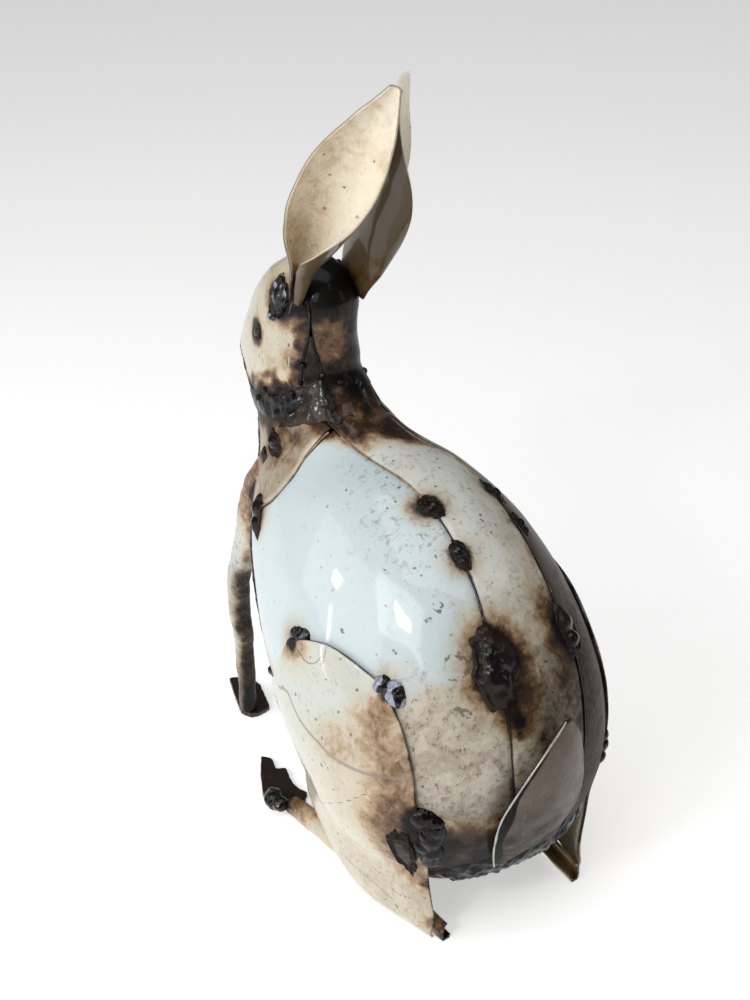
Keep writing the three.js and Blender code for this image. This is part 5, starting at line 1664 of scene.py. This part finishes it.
def make_seams():
    """What lies in the seams: dark weld, or pale fillets in the upper back and shoulder seams."""
    for column, side in enumerate(("left", "right")):
        seam(f"{side}_back_seam", body_point, back_rows(column, 0.01, 0.83), 0.5, 110 + column)
        rows = back_rows(column, 0.83, 0.962)
        seam(f"{side}_back_fillet", body_point, rows, 0.68, 112, -0.62, True)
    for column, (side, way) in enumerate((("left", 1), ("right", -1))):
        angles = np.linspace(38, BELLY_SEAM, 20)
        rows = np.column_stack([shoulder_line(angles)[..., 0], way * angles])
        seam(f"{side}_shoulder_seam", body_point, rows, 0.66, 114, -0.62, True)
        rows = [(share, way * BELLY_SEAM) for share in np.linspace(0.01, 0.985, 20)]
        seam(f"{side}_belly_seam", body_point, rows, 0.8, 116)
        angles = np.linspace(96.5, 180, 16)
        rows = np.column_stack([mouth_line(angles)[..., 0], way * angles])
        seam(f"{side}_mouth_seam", head_point, rows, 0.7, 118)
        heights = np.linspace(6, NAPE_TOP, 12)
        rows = np.column_stack([heights / HEAD_HEIGHT, nape_seams(heights)[..., column]])
        seam(f"{side}_nape_seam", head_point, rows, 0.34, 120, -0.6)
    heights = np.linspace(NAPE_TOP, 94, 12)
    rows = np.column_stack([heights / HEAD_HEIGHT, nape_seams(heights)[..., 0]])
    seam("crown_seam", head_point, rows, 0.55, 122)
    rows = [(share, 180.0) for share in np.linspace(0.41, 0.99, 14)]
    seam("brow_seam", head_point, rows, 0.7, 124)


# ------------------------------------------------------------------ stage, light and camera
FLOOR_REACH = 6.0
# name, place, target, size, power and colour of the soft lights, in metres and watts
LAMPS = [
    ("window", (1.12, 0.34, 1.0), (0, 0, 0.2), (0.8, 0.6), 5.5, (1.0, 0.99, 0.97)),
    ("pane", (1.12, 0.38, 1.0), (0, 0, 0.2), (0.14, 0.14), 2.6, (1, 1, 1)),
    ("strip", (1.25, -0.42, 0.22), (0, -0.08, 0.32), (0.05, 0.5), 0.8, (1, 1, 1)),
    ("low_pane", (1.3, -0.5, 0.75), (0, 0, 0.3), (0.14, 0.14), 1.2, (1, 1, 1)),
    ("room", (1.3, -0.4, 0.75), (0, 0, 0.2), (1.3, 1.0), 6, (1, 1, 1)),
    ("overhead", (0.25, 0.35, 2.4), (0, 0, 0.2), (1.8, 1.8), 22, (1, 1, 1)),
    ("fill", (-1.2, 1.4, 1.0), (0, 0, 0.2), (0.5, 0.9), 1.5, (1, 1, 1)),
]
LENS, SENSOR = 54.0, 36.0
CAMERA_FROM = Vector((0.4906, 0.6193, 0.6953))
CAMERA_AT = Vector((0.0065, -0.035, 0.233))


def make_stage():
    """A wide pale floor that gives off a little light of its own."""
    mesh = bpy.data.meshes.new("floor")
    corners = [(x * FLOOR_REACH, y * FLOOR_REACH, 0) for x, y in ((-1, -1), (1, -1), (1, 1), (-1, 1))]
    mesh.from_pydata(corners, [], [(0, 1, 2, 3)])
    floor = bpy.data.objects.new("floor", mesh)
    bpy.context.scene.collection.objects.link(floor)
    material = bpy.data.materials.new("pale_floor")
    material.use_nodes = True
    sockets = material.node_tree.nodes["Principled BSDF"].inputs
    sockets["Base Color"].default_value = (0.86, 0.86, 0.86, 1)
    sockets["Roughness"].default_value = 0.9
    sockets["Emission Color"].default_value = (1, 1, 1, 1)
    sockets["Emission Strength"].default_value = 0.5
    mesh.materials.append(material)


def facing(place, target):
    """The turn that points an object's -Z axis from a place to a target."""
    return (target - place).to_track_quat("-Z", "Y").to_euler()


def make_lights():
    """The soft lights, and a dim white world."""
    for name, place, target, size, power, colour in LAMPS:
        light = bpy.data.lights.new(name, "AREA")
        light.shape = "RECTANGLE"
        light.size, light.size_y = size
        light.energy = power
        light.color = colour
        obj = bpy.data.objects.new(name, light)
        obj.location = place
        obj.rotation_euler = facing(Vector(place), Vector(target))
        obj.visible_camera = False
        bpy.context.scene.collection.objects.link(obj)
    world = bpy.data.worlds.new("room")
    world.use_nodes = True
    background = world.node_tree.nodes["Background"]
    background.inputs["Color"].default_value = (1, 1, 1, 1)
    background.inputs["Strength"].default_value = 0.10
    bpy.context.scene.world = world
    bpy.context.scene.view_settings.view_transform = "Standard"


def make_camera():
    """The camera looks down from behind, over the hare's left side."""
    camera = bpy.data.cameras.new("camera")
    camera.lens, camera.sensor_width = LENS, SENSOR
    camera.clip_start, camera.clip_end = 0.01, 50
    obj = bpy.data.objects.new("camera", camera)
    obj.location = CAMERA_FROM + Vector(SHIFT)
    obj.rotation_euler = facing(CAMERA_FROM, CAMERA_AT)
    bpy.context.scene.collection.objects.link(obj)
    bpy.context.scene.camera = obj


make_camera()
make_stage()
make_lights()
make_body()
make_head()
for side in ("left", "right"):
    make_ear(side)
    make_haunch(side)
    make_foreleg(side)
    make_hind_foot(side)
    make_plate(side, "forepaw", FOREPAW, FOREPAW_MIDDLE, 130)
    make_plate(side, "hind_toes", HIND_TOES, HIND_TOES_MIDDLE, 150)
make_tail()
make_welds()
make_neck_band()
make_rump_band()
make_seams()

bpy.context.view_layer.update()
